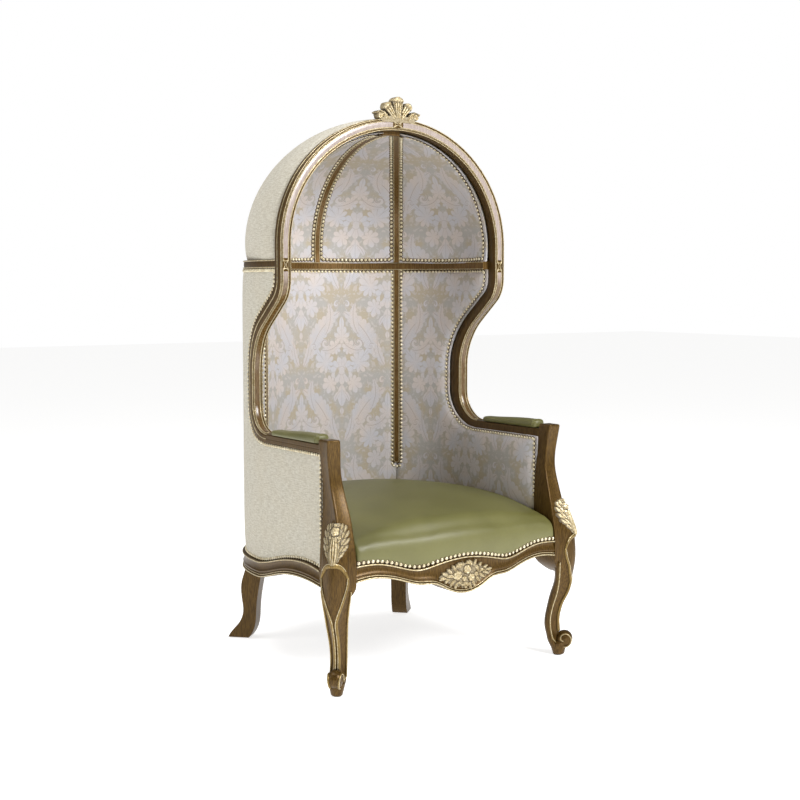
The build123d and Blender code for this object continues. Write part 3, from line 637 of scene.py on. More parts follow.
nail = {
    "radius": 0.0049,
    "height": 0.0034,
    "sides": 10,
    # dark disc under each head, a painted shadow, in shares of the head's radius
    "rim": 1.5,
    "seatGrowth": 1.08,
    "pitch": {"outside": 0.0126, "inside": 0.0128, "seat": 0.0146},
    "fromEdge": 0.006,  # of each panel
    "headForm": ((1, 0), (0.93, 0.42), (0.66, 0.82), (0.3, 0.98)),  # in shares of radius and height
}
nailShells = {kind: Shell() for kind in nail["pitch"]}
# dark discs of painted shadow under the nail heads
nailShadowShells = {kind: Shell() for kind in nail["pitch"]}


def turnedDots(shell, places, normals, rings):  # the same small turned form at every place
    sides, low = nail["sides"], len(rings) * nail["sides"] - nail["sides"]
    first = unit(np.cross(normals, [0.31, 0.2, 0.93]))
    second = np.cross(normals, first)
    turns = np.linspace(0, 2 * math.pi, sides, endpoint=False)
    form = [(r * math.cos(a), r * math.sin(a), h) for r, h in rings for a in turns]
    form = np.array(form + [(0, 0, rings[-1][1] + 0.0002)])
    axes = np.stack([first, second, normals], 1)
    points = places[:, None] + np.einsum("fk,nkc->nfc", form, axes)
    faces = gridFaces(len(rings), sides, False, True).tolist()
    faces += [[low + k, low + (k + 1) % sides, low + sides] for k in range(sides)]
    faces.append(list(range(sides))[::-1])
    shell.add(points, [[k * len(form) + v for v in face] for k in range(len(places)) for face in faces])


def trim(kind, path, normals, mirror=False):  # a row of nails, each on a dark disc of painted shadow
    both = resample(np.hstack([path, normals]), nail["pitch"][kind])
    r, h = nail["radius"] * (nail["seatGrowth"] if kind == "seat" else 1.0), nail["height"]
    head = [(r * share, h * rise) for share, rise in nail["headForm"]]
    # a dark disc under the head paints its shadow
    rim = ((r * nail["rim"], -0.0004), (r * nail["rim"] * 0.94, 0.0006), (r, 0.0008))
    for turn in (1, otherSide) if mirror else (1,):
        places, normals = both[:, :3] * turn, unit(both[:, 3:]) * turn
        turnedDots(nailShells[kind], places + normals * 0.0006, normals, head)
        turnedDots(nailShadowShells[kind], places, normals, rim)


def wallPoints(s, z, recess):  # length along the wall, height, depth from the outside
    s, z, recess = np.broadcast_arrays(*(np.asarray(a, float) for a in (s, z, recess)))
    turn = np.clip((s - roundY) / outer, 0, math.pi)
    past = np.clip(s - roundY - outer * math.pi, 0, None)
    y = np.where(s < roundY, s, roundY + np.sin(turn) * (outer - recess)) - past
    return np.stack([np.cos(turn) * (outer - recess), y, z], -1)


def wallNormals(s):  # outwards
    turn = np.clip((np.asarray(s, float) - roundY) / outer, 0, math.pi)
    return np.stack([np.cos(turn), np.sin(turn), np.zeros_like(turn)], -1)


def wallLength(y, recess):  # length along the wall of a point seen from the side
    y = np.asarray(y, float)
    onRound = roundY + outer * np.arcsin(np.clip((y - roundY) / (outer - recess), -1, 1))
    return np.where(y < roundY, y, onRound)


def trimOnWall(kind, line, recess, side, mirror=False):
    trim(kind, wallPoints(*line.T, recess), wallNormals(line[:, 0]) * side, mirror)


def edgeDistance(points, edge, chunk=2000):  # from each point to a line of close points
    points = np.asarray(points, float)
    flat = points.reshape(-1, points.shape[-1])
    best = [
        np.linalg.norm(flat[k : k + chunk, None] - edge[None], axis=2).min(1)
        for k in range(0, len(flat), chunk)
    ]
    return np.concatenate(best).reshape(points.shape[:-1])


padding = {
    "swell": 0.007,  # of the damask panels
    "reach": 0.02,
    "rollLift": 0.0085,  # at the frame's edge, where the padding rolls over to it
    "rollReach": 0.012,
    "rollStart": 0.0345,
    "outerSwell": 0.006,
    "outerReach": 0.03,
    "hoodSwell": 0.005,
    "hoodReach": 0.025,
    "lowZ": 0.43,  # the damask ends behind the seat
    "weld": 0.0004,
}


def puff(distance, reach):  # padding that swells away from its tacked edge
    return 1 - np.exp(-np.asarray(distance) / reach)


edge = {
    "topLength": 0.039,
    "shoulderRadius": 0.088,
    "turn": 51.5,
    "slopeLength": 0.1,
    "waistRadius": 0.186,
    "waistLength": 0.077,
    "elbowRadius": 0.088,
    "jointZ": 1.151,
    "armDepth": 0.024,
    "step": 0.005,
    "section": (  # in shares of its 35 mm: across the face, into the depth
        (0, 0.3), (0, 0.12), (0.03, 0.05), (0.08, 0.015), (0.13, 0.03), (0.17, 0.09), (0.2, 0.1),
        (0.23, 0.055), (0.27, 0.05), (0.73, 0.05), (0.77, 0.055), (0.8, 0.1), (0.83, 0.09),
        (0.87, 0.03), (0.92, 0.015), (0.97, 0.05), (1, 0.12), (1, 0.3), (1, 0.92), (0.96, 1),
        (0.04, 1), (0, 0.92), (0, 0.62), (0.02, 0.58), (0.02, 0.5), (0, 0.46),
    ),
    "inlay": (0.255, 0.745),  # share of the face
    "inlayEnd": 0.0086,
    "inlayGap": 0.010,
    "knotHalf": 0.013,
    "goldLines": (  # share across, share deep, radius
        (0.055, 0.02, 0.001), (0.945, 0.02, 0.001), (0.0, 0.54, 0.0012),
        (0.19, 0.085, 0.0007), (0.81, 0.085, 0.0007),
    ),
}


def edgeStations():  # from the top of the arch down the right side to the post
    thickness, rise = chair["frameThickness"], chair["archRise"]
    rows = []  # corner, across, deep
    for angle in np.linspace(math.pi / 2, 0, 110):
        cosA, sinA = math.cos(angle), math.sin(angle)
        inward = -unit([cosA / outer, sinA / rise]) * thickness
        place = (outer * cosA, archY, springZ + rise * sinA)
        rows.append((place, (inward[0], 0, inward[1]), (0, thickness, 0)))
    for z in np.linspace(springZ, edge["jointZ"], 12)[1:]:
        rows.append(((outer, archY, z), (-thickness, 0, 0), (0, thickness, 0)))
    archCount = len(rows)
    place, heading, depth = np.array([archY, edge["jointZ"]]), -math.pi / 2, thickness

    def onWall(at, recess):
        return wallPoints(wallLength(at[0], recess), at[1], recess)

    moves = (  # length, radius, turn
        (edge["topLength"], 0, 0),
        (0, edge["shoulderRadius"], edge["turn"]),
        (edge["slopeLength"], 0, 0),
        (0, edge["waistRadius"], -edge["turn"]),
        (edge["waistLength"], 0, 0),
        (0, edge["elbowRadius"], -90),
        (0, 0, 0),  # on to the post
    )
    for length, radius, turn in moves:
        if radius:
            steps = max(6, int(radius * math.radians(abs(turn)) / edge["step"]))
            part = math.radians(turn) / steps
            advance = 2 * radius * math.sin(abs(part) / 2)
        else:
            length = length or place[0] - chair["postBackY"]
            steps = max(2, int(length / edge["step"]))
            part, advance = 0.0, length / steps
        for _ in range(steps):
            mid = heading + part / 2
            place = place + np.array([math.cos(mid), math.sin(mid)]) * advance
            heading += part
            if turn == -90:  # the frame thins at the elbow
                depth += (edge["armDepth"] - thickness) / steps
            far = place + np.array([-math.sin(heading), math.cos(heading)]) * depth
            corner = onWall(place, 0)
            rows.append((corner, onWall(place, thickness) - corner, onWall(far, 0) - corner))
        if turn == -90:
            armStart = len(rows)
    return *np.array(rows, float).transpose(1, 0, 2), archCount, armStart


corner, across, deep, archCount, armStart = edgeStations()
edgeLength = np.concatenate([[0], np.cumsum(np.linalg.norm(np.diff(corner, axis=0), axis=1))])


def edgePoint(length, a, d):  # a: share across the face from outside in, d: share of the depth
    at = [
        np.stack([np.interp(length, edgeLength, column) for column in rows.T], -1)
        for rows in (corner, across, deep)
    ]
    a, d = (np.broadcast_to(share, np.shape(length))[..., None] for share in (a, d))
    return at[0] + a * at[1] + d * at[2]


def buildEdge():
    section = np.array(edge["section"])
    lengths = (
        ("hoodArch", "hood_arch", slice(0, archCount)),
        ("wingFrame", "wing_frame", slice(archCount - 1, armStart)),
        ("armRail", "arm_rail", slice(armStart - 1, len(corner))),
    )
    for name, node, rows in lengths:
        shell, (near, wide, far) = Shell(), (a[rows, None] for a in (corner, across, deep))
        shell.loft(near + section[:, :1] * wide + section[:, 1:] * far)
        shell.pair(name, "frameWood", "painted_wood", node, 32)
    # reveal inlays, pale on the arch as a painted reflection, and the gold lines that close round them
    jointAt, armAt = edgeLength[archCount - 1], edgeLength[armStart - 1]
    gap, bend, (low, high) = edge["inlayGap"], edge["inlayEnd"], edge["inlay"]
    mid, half = (low + high) / 2, (high - low) / 2
    end = np.linspace(0, math.pi, 9)[1:-1]
    gold, inlay = Shell(), Shell()
    for start, stop in ((gap, jointAt - gap), (jointAt + gap, armAt - 2 * gap)):
        run = np.linspace(start + bend, stop - bend, max(4, int((stop - start) / 0.006)))
        ends = (stop - bend + bend * np.sin(end), start + bend - bend * np.sin(end))
        lengths = np.concatenate([run, ends[0], run[::-1], ends[1]])
        side = np.ones(len(run))
        shares = np.concatenate([side * low, mid - half * np.cos(end), side * high, mid + half * np.cos(end)])
        tube(gold, edgePoint(lengths, shares, 0.04), 0.0012, 6, True)
        bulge = [
            edgePoint(run, mid + half * k, 0.05 - 0.045 * (1 - k * k))
            for k in np.linspace(-0.93, 0.93, 7)
        ]
        # paler up the arch, fading below the joint: a painted reflection
        paintedReflection = 1 - smoothStep(jointAt + 0.02, jointAt + 0.07, run)
        inlay.add(np.stack(bulge, 1), gridFaces(len(run), 7), np.repeat(paintedReflection, 7))
    # the small crossed flourish between two loops, whole at the foot and half at the top
    for at, swing in ((jointAt, np.linspace(-1, 1, 15)), (0.0, np.linspace(0, 1, 9))):
        for hand in (-1, 1):
            shares = 0.5 + hand * (0.06 + 0.2 * swing**2)
            tube(gold, edgePoint(at + swing * edge["knotHalf"], shares, 0.035), 0.0011, 5)
    for share, depthShare, radius in edge["goldLines"]:
        tube(gold, edgePoint(np.arange(0, armAt, 0.006), share, depthShare), radius)
    gold.both().piece("goldLines_edge", "gold", "painted_wood")
    inlay.both().piece("inlayWithPaintedReflection", "inlay", "painted_wood")


buildEdge()
print("moulded edge built")

wingBack = (corner + deep)[archCount - 1 : armStart]  # back line of the wing frame, on the outside
armBottom = float(wingBack[:, 2].min())
elbowLength = float(wallLength(wingBack[-1, 1], 0))
railRun = roundY - chair["postBackY"]
sideRail = {
    "topZ": 0.298,
    "lowZ": 0.251,
    "wave": 0.041,  # the places count from the round back, -1 is the post
    "topLine": (
        (-1, 0.8), (-0.84, 0.99), (-0.68, 1), (-0.52, 0.88), (-0.35, 0.62), (0, 0), (0.3, 0), (0.6, 0),
    ),
    "lowLine": (
        (-1, 0.82), (-0.84, 0.96), (-0.68, 1), (-0.52, 0.93), (-0.35, 0.7), (0, 0), (0.3, 0), (0.6, 0),
    ),
}


def wingBackLength(z, recess):  # where the wing's frame ends, for a height above the arm
    order = np.argsort(wingBack[:, 2])
    return wallLength(np.interp(z, wingBack[order, 2], wingBack[order, 1]), recess)


def railLine(s, level, shares):  # a shaped line on the side rails, straight round the back
    s = np.minimum(s, 2 * backS - np.asarray(s, float))
    places, heights = np.array(shares).T
    line = spline(roundY + railRun * places, heights, np.minimum(s, roundY))
    return level + np.where(s > roundY, 0, sideRail["wave"] * line)


def railTop(s):
    return railLine(s, sideRail["topZ"], sideRail["topLine"])


def railLow(s):
    return railLine(s, sideRail["lowZ"], sideRail["lowLine"])


def insetLine(line, amount):  # moves a line sideways in the wall's plane
    ahead = unit(np.gradient(line, axis=0))
    return line + np.stack([ahead[:, 1], -ahead[:, 0]], 1) * amount


def wallPanel(recess, endLength, bottom, swell, reach, side):
    # a padded panel from the post and the wing's frame to endLength(z); side is +1 outside, -1 inside
    lift = (np.linspace(0, 1, 34), np.linspace(1, 1.06, 8)[1:], np.linspace(1.06, 2, 48)[1:])
    levels, share = np.concatenate(lift), np.linspace(0, 1, 44)
    lowLevels = levels[levels <= 1]  # up to the arm, then up to the belt

    def levelZ(level, s):
        floor = bottom(s)
        above = armBottom + (beltLow - armBottom) * (level - 1)
        return np.where(level <= 1, floor + (armBottom - floor) * level, above)

    mainS = []
    for level in levels:
        z = float(levelZ(level, np.array([elbowLength]))[0])
        start = elbowLength if level <= 1 else float(wingBackLength(z, recess))
        mainS.append(start + (endLength(z) - start) * share)
    mainS = np.array(mainS)
    mainZ = np.stack([levelZ(level, s) for level, s in zip(levels, mainS)])
    frontS = np.tile(np.linspace(chair["postBackY"], elbowLength, 26), (len(lowLevels), 1))
    frontZ = np.stack([levelZ(level, s) for level, s in zip(lowLevels, frontS)])
    main, front = np.stack([mainS, mainZ], -1), np.stack([frontS, frontZ], -1)
    outline = np.concatenate([front[:, 0], front[-1], main[len(lowLevels) :, 0], main[-1]])
    endLine, bottomLine = main[::-1, -1], np.concatenate([main[0, ::-1], front[0, ::-1]])
    tacked = [outline, bottomLine] + ([endLine] if endLength(0.9) < backS - 0.01 else [])
    closeEdge = np.vstack([resample(line, 0.004) for line in tacked])
    shell = Shell()
    for grid in (main, front):
        s, z = grid[..., 0], grid[..., 1]
        depth = recess - side * swell * puff(edgeDistance(grid, closeEdge), reach)
        faces = gridFaces(*s.shape)
        if side < 0:
            fall = edgeDistance(grid, resample(outline, 0.004)) / padding["rollReach"]
            depth = depth - padding["rollLift"] * np.exp(-fall)
            faces = faces[:, ::-1]
        shell.add(wallPoints(s, z, depth), faces, uv=grid - (damask["origin"] if side < 0 else 0))
    if side < 0:  # the padding rolls over to the frame along its front and top edges
        rim, points, uv = resample(outline, 0.006), [], []
        for k, turn in enumerate(np.linspace(0, math.pi / 2, 6)):
            line = insetLine(rim, -0.002 * math.sin(2 * turn))
            rise = (recess - padding["rollLift"] - padding["rollStart"]) * math.sin(turn)
            points.append(wallPoints(*line.T, padding["rollStart"] + rise))
            uv.append(line - damask["origin"] + [k * 0.003, 0])
        shell.add(np.stack(points, 1), gridFaces(len(rim), 6), uv=np.stack(uv, 1))
    return shell, outline, endLine, bottomLine


def coverPiece(shell, name, node, weld):  # a stretched linen cover
    cover = shell.piece(name, "linen", "linen_cover", (node,), None, weld)
    sheet = cover.modifiers.new("thickness", "SOLIDIFY")
    sheet.thickness, sheet.offset = chair["coverSheet"], -1.0


def buildOuterCover():
    recess, gap = chair["coverRecess"], nail["fromEdge"]
    right, outline, _, bottom = wallPanel(
        recess, lambda z: backS, railTop, padding["outerSwell"], padding["outerReach"], 1
    )
    coverPiece(right.both(), "linenCover", "outer_cover", padding["weld"])
    line = resample(insetLine(resample(outline, 0.006), gap - 0.0002), 0.004)
    trimOnWall("outside", line, recess - 0.0008, 1, True)
    foot = np.concatenate([bottom[::-1], ([2 * backS, 0] + bottom * [-1, 1])[1:]])
    trimOnWall("outside", foot + [0, gap], recess - 0.0008, 1)


def uprightEdge(z, hand):  # side of the upright, or the diagonal itself under its foot
    half = chair["ribWidth"] / 2 * outer / (outer - chair["panelRecess"])
    return diagonalS + hand * (half if z > chair["uprightFoot"] else 0.0)


def buildSidePanels():
    recess, gap, footZ = chair["panelRecess"], nail["fromEdge"], chair["uprightFoot"] - 0.004
    right, outline, endLine, _ = wallPanel(
        recess, lambda z: uprightEdge(z, -1), lambda s: np.full_like(s, padding["lowZ"]),
        padding["swell"], padding["reach"], -1,
    )
    for panel in right.pair("sidePanel", "damask", "damask_lining", "side_panel", None, padding["weld"]):
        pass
    for border, low, depth in ((outline, 0.47, recess - 0.0038), (endLine, footZ, recess + 0.0015)):
        line = insetLine(resample(border, 0.006), gap)
        trimOnWall("inside", line[line[:, 1] > low], depth, -1, True)


def buildBackPanel():
    recess, gap, footZ = chair["panelRecess"], nail["fromEdge"], chair["uprightFoot"] - 0.004
    low = np.linspace(padding["lowZ"], chair["uprightFoot"], 12)
    levels = np.concatenate([low, np.linspace(chair["uprightFoot"] + 0.002, beltLow, 60)])
    starts = np.array([uprightEdge(z, 1) for z in levels])[:, None]
    s = starts + (2 * backS - 2 * starts) * np.linspace(0, 1, 60)
    grid = np.stack([s, np.broadcast_to(levels[:, None], s.shape)], -1)
    close = np.vstack([resample(line, 0.004) for line in (grid[12:, 0], grid[12:, -1], grid[-1])])
    depth = recess + padding["swell"] * puff(edgeDistance(grid, close), padding["reach"])
    shell = Shell()
    points = wallPoints(grid[..., 0], grid[..., 1], depth)
    shell.add(points, gridFaces(*s.shape)[:, ::-1], uv=grid - damask["origin"])
    shell.piece("backPanel", "damask", "damask_lining", ("back_panel",))
    left = uprightEdge(1.0, 1) + gap
    right, top = 2 * backS - left, beltLow - gap
    line = np.array([(left, footZ), (left, top), (right, top), (right, footZ)])
    trimOnWall("inside", resample(line, 0.004), recess + 0.0012, -1)
    turn = np.linspace(0, math.pi, 9)[2:-2]
    for middle in (diagonalS, 2 * backS - diagonalS):  # round the foot of each upright
        foot = np.stack([middle - 0.0175 * np.cos(turn), footZ - 0.009 * np.sin(turn)], 1)
        trimOnWall("inside", foot, recess + 0.0012, -1)


buildOuterCover()
buildSidePanels()
buildBackPanel()
print("wall panels built")

hoodMiddle = np.array([0, hoodY, springZ])
ribTurn, ribHalf = math.radians(chair["ribAngle"]), chair["ribWidth"] / 2


def domeAxes(inset, drop):
    return outer - inset, roundY + outer - inset - hoodY, chair["archRise"] - drop


def ribCurve(angle, offset, inset, drop, startY, count, hubY=chair["hubY"]):
    # curve on the hood in an upright plane through its hub; runs from the arch down to the belt
    a, b, c = domeAxes(inset, drop)
    sinA, cosA = math.sin(angle), math.cos(angle)
    x0, y0 = offset * cosA, hubY - offset * sinA - hoodY
    p2 = (sinA / a) ** 2 + (cosA / b) ** 2
    p1 = 2 * (x0 * sinA / a**2 + y0 * cosA / b**2)
    p0 = (x0 / a) ** 2 + (y0 / b) ** 2
    middle = -p1 / (2 * p2)
    k = 1 - (p0 - p1**2 / (4 * p2))
    reach, rise = math.sqrt(k / p2), c * math.sqrt(k)
    startRun = (startY - hoodY - y0) / cosA
    first = math.acos(np.clip((startRun - middle) / reach, -1, 1))
    last = math.asin(np.clip((beltHigh - springZ) / rise, -1, 1))
    turn = np.linspace(first, last, count)
    run = middle + reach * np.cos(turn)
    return np.stack([x0 + run * sinA, hoodY + y0 + run * cosA, springZ + rise * np.sin(turn)], -1)


def archCurve(y, startX, inset, drop, count):
    a, b, c = domeAxes(inset, drop)
    k = math.sqrt(1 - ((y - hoodY) / b) ** 2)
    turn = np.linspace(math.acos(startX / (a * k)), math.asin((beltHigh - springZ) / (c * k)), count)
    return np.stack([a * k * np.cos(turn), np.full(count, y), springZ + c * k * np.sin(turn)], -1)


def domeNormals(points, inset, drop):
    return unit((points - hoodMiddle) / np.array(domeAxes(inset, drop)) ** 2)


def gore(first, second, inset, drop, swell, reach, columns, dip=0.0):
    # padded surface inside the hood between two curves that run from the top down to the belt
    axes = np.array(domeAxes(inset, drop))
    q0, q1 = (unit((curve - hoodMiddle) / axes)[:, None] for curve in (first, second))
    angle = np.arccos(np.clip(np.sum(q0 * q1, -1), -1, 1))[..., None]
    share = np.linspace(0, 1, columns)[None, :, None]
    bent = np.sin((1 - share) * angle) * q0 + np.sin(share * angle) * q1
    flat = (1 - share) * q0 + share * q1
    blend = np.where(angle < 1e-4, flat, bent / np.maximum(np.sin(angle), 1e-6))
    base = hoodMiddle + unit(blend) * axes
    border = np.vstack([resample(line, 0.005) for line in (first, second, base[-1])])
    normal = domeNormals(base, inset, drop)
    swell = swell * puff(edgeDistance(base, border), reach)
    if dip:  # the padding rolls over to the arch
        fall = edgeDistance(base, resample(second, 0.004)) / padding["rollReach"]
        swell = swell - dip * np.abs(normal[..., 0]) * np.exp(-fall)
    width = np.linalg.norm(np.diff(base, axis=1), axis=2).sum(1)
    steps = np.linalg.norm(np.diff(base[:, columns // 2], axis=0), axis=1)
    fall = np.concatenate([[0], np.cumsum(steps)])
    u = (share[..., 0] - 0.5) * width[:, None]
    v = np.broadcast_to((fall[-1] - fall)[:, None], u.shape) - 0.13
    return base - normal * swell[..., None], np.stack([u, v], -1)


def buildGores():
    inset, drop, rows = chair["panelRecess"], chair["panelDrop"], 64
    start, archX = -0.044, 0.0287
    ribSides = ((0.0, ribHalf), (ribTurn, -ribHalf))
    back = (ribCurve(turn, offset, inset, drop, start, rows) for turn, offset in ribSides)
    front = (
        ribCurve(ribTurn, ribHalf, inset, drop, archBack, rows),
        archCurve(archBack, archX, inset, drop, rows),
    )
    for name, node, curves, dip in (
        ("hoodGoreBack", "hood_panel_back", tuple(back), 0.0),
        ("hoodGoreFront", "hood_panel_front", front, padding["rollLift"]),
    ):
        points, uv = gore(*curves, inset, drop, padding["swell"], padding["reach"], 34, dip)
        right = Shell()
        right.add(points, gridFaces(*points.shape[:2]), uv=uv)
        if dip:  # rolled edge against the arch
            rolls = []
            for turn in np.linspace(0, math.pi / 2, 6):
                rise, rollStart = math.sin(turn), padding["rollStart"]
                rollInset = rollStart + (inset - dip - rollStart) * rise
                rollY = archBack - 0.002 * math.sin(2 * turn)
                rolls.append(archCurve(rollY, archX, rollInset, rollStart + (drop - rollStart) * rise, rows))
            edgeUv = np.stack([uv[:, -1] + [0.003 * k, 0] for k in range(6, 0, -1)], 1)
            right.add(np.stack(rolls, 1), gridFaces(rows, 6)[:, ::-1], uv=edgeUv)
        for piece in right.pair(name, "damask", "damask_lining", node):
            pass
        # nails along both ribs and over the belt
        inner, _ = gore(*curves, inset, drop, 0.002, 0.004, 200, dip * 0.9)
        widths = np.linalg.norm(np.diff(inner, axis=1), axis=2).sum(1)
        index = (nail["fromEdge"] / np.maximum(widths, 0.013) * 199).round().astype(int)
        kept = np.flatnonzero(widths > 0.03)[:-1]
        foot = inner[-2, index[-2] : 200 - index[-2]][1:-1]
        sides = inner[kept, index[kept]], inner[kept, 199 - index[kept]]
        path = np.concatenate([sides[0], foot, sides[1][::-1]])
        normals = -domeNormals(path, inset, drop)
        trim("inside", path + normals * 0.0012, normals, True)


def buildHoodCover():
    layer = chair["coverRecess"], chair["coverDrop"]
    rows, columns = 56, 60
    turns = np.linspace(-math.pi / 2, math.pi / 2, columns)
    side = archCurve(archBack, 0.0, *layer, rows)
    # planes through the top of the arch's back edge
    curves = [ribCurve(turn, 0.0, *layer, archBack, rows, archBack) for turn in turns[1:-1]]
    points = np.stack([side * otherSide, *curves, side], 1)
    edgeLine = np.vstack([resample(line, 0.006) for line in (points[:, 0], points[:, -1], points[-1])])
    swell = padding["hoodSwell"] * puff(edgeDistance(points, edgeLine), padding["hoodReach"])
    puffed = points + domeNormals(points, *layer) * swell[..., None]
    uv = np.stack([np.broadcast_to(turns * 0.38, points.shape[:2]), points[..., 2]], -1)
    shell = Shell()
    shell.add(puffed, gridFaces(rows, columns)[:, ::-1], uv=uv)
    coverPiece(shell, "hoodCover", "hood_cover", 0.0003)
    rim = np.vstack([points[::-1, 0], points[1:, -1]]) + [0, nail["fromEdge"], 0]
    for line in (rim, points[-1] + [0, 0, nail["fromEdge"]]):
        trim("outside", line, domeNormals(line, *layer))


buildGores()
buildHoodCover()
beltRun = np.linspace(archBack + 0.004, 2 * backS - archBack - 0.004, 300)
beltNails = np.stack([beltRun, np.full(300, beltLow - nail["fromEdge"])], 1)
trimOnWall("outside", beltNails, chair["coverRecess"] - 0.0008, 1)
print("hood built")

belt = {
    "profile": (  # height over the belt's lower edge, depth
        (0.0, 0.0062), (0.0, 0.003), (0.0035, 0.0026), (0.0045, 0.0038), (0.012, 0.0032),
        (0.0195, 0.0038), (0.0205, 0.0026), (0.024, 0.003), (0.024, 0.0062),
    ),
    "goldHeights": (0.0022, 0.0218),
    "goldRadius": 0.0017,
    "ribGoldRadius": 0.0011,
    "ribGoldInset": 0.0016,
}


def buildBeltBand():
    run = np.linspace(archBack + 0.0005, 2 * backS - archBack - 0.0005, 240)
    rows = np.stack([wallPoints(run, beltLow + up, recess) for up, recess in belt["profile"]], 1)
    shell, gold = Shell(), Shell()
    shell.add(rows, gridFaces(len(run), len(belt["profile"])))
    shell.piece("outsideBelt", "frameWood", "dark_ribs", (), 40)
    for up in belt["goldHeights"]:
        tube(gold, wallPoints(run, beltLow + up, 0.0022), belt["goldRadius"], 8)
    gold.piece("goldLines_belt", "gold", "dark_ribs")


def buildHubPlate():  # closes the hood behind the arch, where the ribs meet
    x, y = np.meshgrid(np.linspace(-0.052, 0.052, 25), np.linspace(-0.0522, -0.026, 7))
    shell = Shell()
    for inset, drop, way in ((chair["ribRecess"], chair["ribDrop"] + 0.0006, -1), (0.036, 0.034, 1)):
        a, b, c = domeAxes(inset, drop)
        z = springZ + c * np.sqrt(1 - (x / a) ** 2 - ((y - hoodY) / b) ** 2)
        shell.add(np.stack([x, y, z], -1), gridFaces(*x.shape)[:, ::way])
    shell.piece("hubPlate", "rib", "dark_ribs", (), 40)


def buildRibLines():
    gold, lines = Shell(), []
    fromEdge, inset = belt["ribGoldInset"], chair["ribRecess"]
    offset = ribHalf - fromEdge
    for angle in (0.0, ribTurn, -ribTurn):
        for hand in (-1, 1):
            lines.append(ribCurve(angle, hand * offset, inset, chair["ribDrop"], -0.05, 60))
    half, low = offset * outer / (outer - inset), chair["uprightFoot"] + fromEdge
    for middle in (diagonalS, 2 * backS - diagonalS):
        left, right = middle - half, middle + half
        line = resample([(left, beltLow), (left, low), (right, low), (right, beltLow)], 0.01)
        lines.append(wallPoints(*line.T, inset))
    run = np.linspace(archBack, 2 * backS - archBack, 160)
    lines += [wallPoints(run, z, inset) for z in (beltLow + fromEdge, beltHigh - fromEdge)]
    for line in lines:
        tube(gold, line, belt["ribGoldRadius"])
    gold.piece("goldLines_ribs", "gold", "dark_ribs")


buildBeltBand()
buildHubPlate()
buildRibLines()

leg = {
    "x": 0.383,  # middle of the post
    "y": -0.367,
    "unit": 0.050,
    "blockZ": 0.300,
    "postTop": 0.685,
    "toeOut": 0.020,
    "toeZ": 0.050,
    "ridgeRadius": 0.0046,
    "goldRadius": 0.0011,
    "post": (  # height share, outer side, inner side, front; the back is flat
        (0, 0.3, 0.84, 0.68), (0.12, 0.29, 0.84, 0.68), (0.22, 0.26, 0.84, 0.6), (0.32, 0.2, 0.84, 0.42),
        (0.42, 0.12, 0.84, 0.22), (0.55, 0.07, 0.78, -0.12), (0.68, 0.08, 0.7, -0.44),
        (0.8, 0.16, 0.6, -0.5), (0.92, 0.28, 0.54, -0.42), (1, 0.32, 0.46, -0.32),
    ),
    # in mm: height, tongue, half gap of the front ridges, their reach, side ridge, half width, inner reach
    "rows": (
        (3, 13, 6, 12.5, 2, 15, 14), (20, 14, 6, 13, 0, 19, 19), (40, 10, 5, 11, -9, 22, 29),
        (60, 4, 5, 5.5, -16, 21.5, 34), (79, 1.8, 5, 3.2, -20, 21, 38.5), (103, 0, 5, 1.5, -22, 21.5, 40),
        (134, 4.3, 5, 5.8, -18, 23, 35.5), (164, 14.3, 5, 15.8, -10, 25.5, 29),
        (190, 27, 5, 29, -2, 28, 22), (205, 32.5, 6, 34, 1, 29.5, 17), (225, 38.5, 11.5, 38, 4, 32, 12),
        (250, 44, 20, 36.5, 6, 35.5, 11), (275, 48.5, 28, 34, 7, 39, 20), (300, 50.5, 34, 27.5, 8, 41, 38),
        (325, 50, 36, 24, 8, 41.5, 40), (350, 48, 35, 22, 6, 40, 40), (375, 45, 34, 19, 4, 38, 40),
        (400, 37, 32, 12, -4, 35, 40), (425, 27, 28, 5, -10, 32, 40), (450, 16, 22, -1, -16, 27, 40),
        (470, 4, 15, -8, -22, 20, 40),
    ),
    "drum": (  # toe: radius in mm, half width in m
        (0, 0.0225), (3.5, 0.0221), (6.5, 0.0206), (9, 0.0194), (12, 0.0188), (15, 0.018),
        (18, 0.016), (20.5, 0.0131), (22.5, 0.0092), (23.7, 0.0048), (24, 0),
    ),
    "pad": (  # height, radius
        (0.003, 0.0), (0.003, 0.0145), (0.006, 0.0165), (0.016, 0.0185),
        (0.026, 0.0215), (0.036, 0.0225), (0.042, 0.018), (0.046, 0.0),
    ),
}
legTable, postTable = np.array(leg["rows"]) * mm, np.array(leg["post"])
legHeights, postShares = np.linspace(0.003, 0.47, 468), np.linspace(0, 1, 386)
legRows = [spline(legTable[:, 0], column, legHeights) for column in legTable.T[1:]]
postRows = [spline(postTable[:, 0], column, postShares) * leg["unit"] for column in postTable.T[1:]]
postInside, postBack = chair["postInsideX"] + chair["clearance"], chair["postBackY"] - chair["clearance"]


def legRow(z):  # tongue, gap, ridge, side ridge, half width, inner reach
    return [np.interp(z, legHeights, row) for row in legRows]


def footPoint(d, w, z):  # d along the leg's diagonal, w across it towards the front
    root = math.sqrt(2)
    return np.stack(np.broadcast_arrays(leg["x"] + (d - w) / root, leg["y"] - (d + w) / root, z), -1)


def cornerFall(w, gap, bend=0.012):  # how a rounded corner falls away beside its middle
    return (np.hypot(w, bend) - bend) / (np.hypot(gap, bend) - bend)


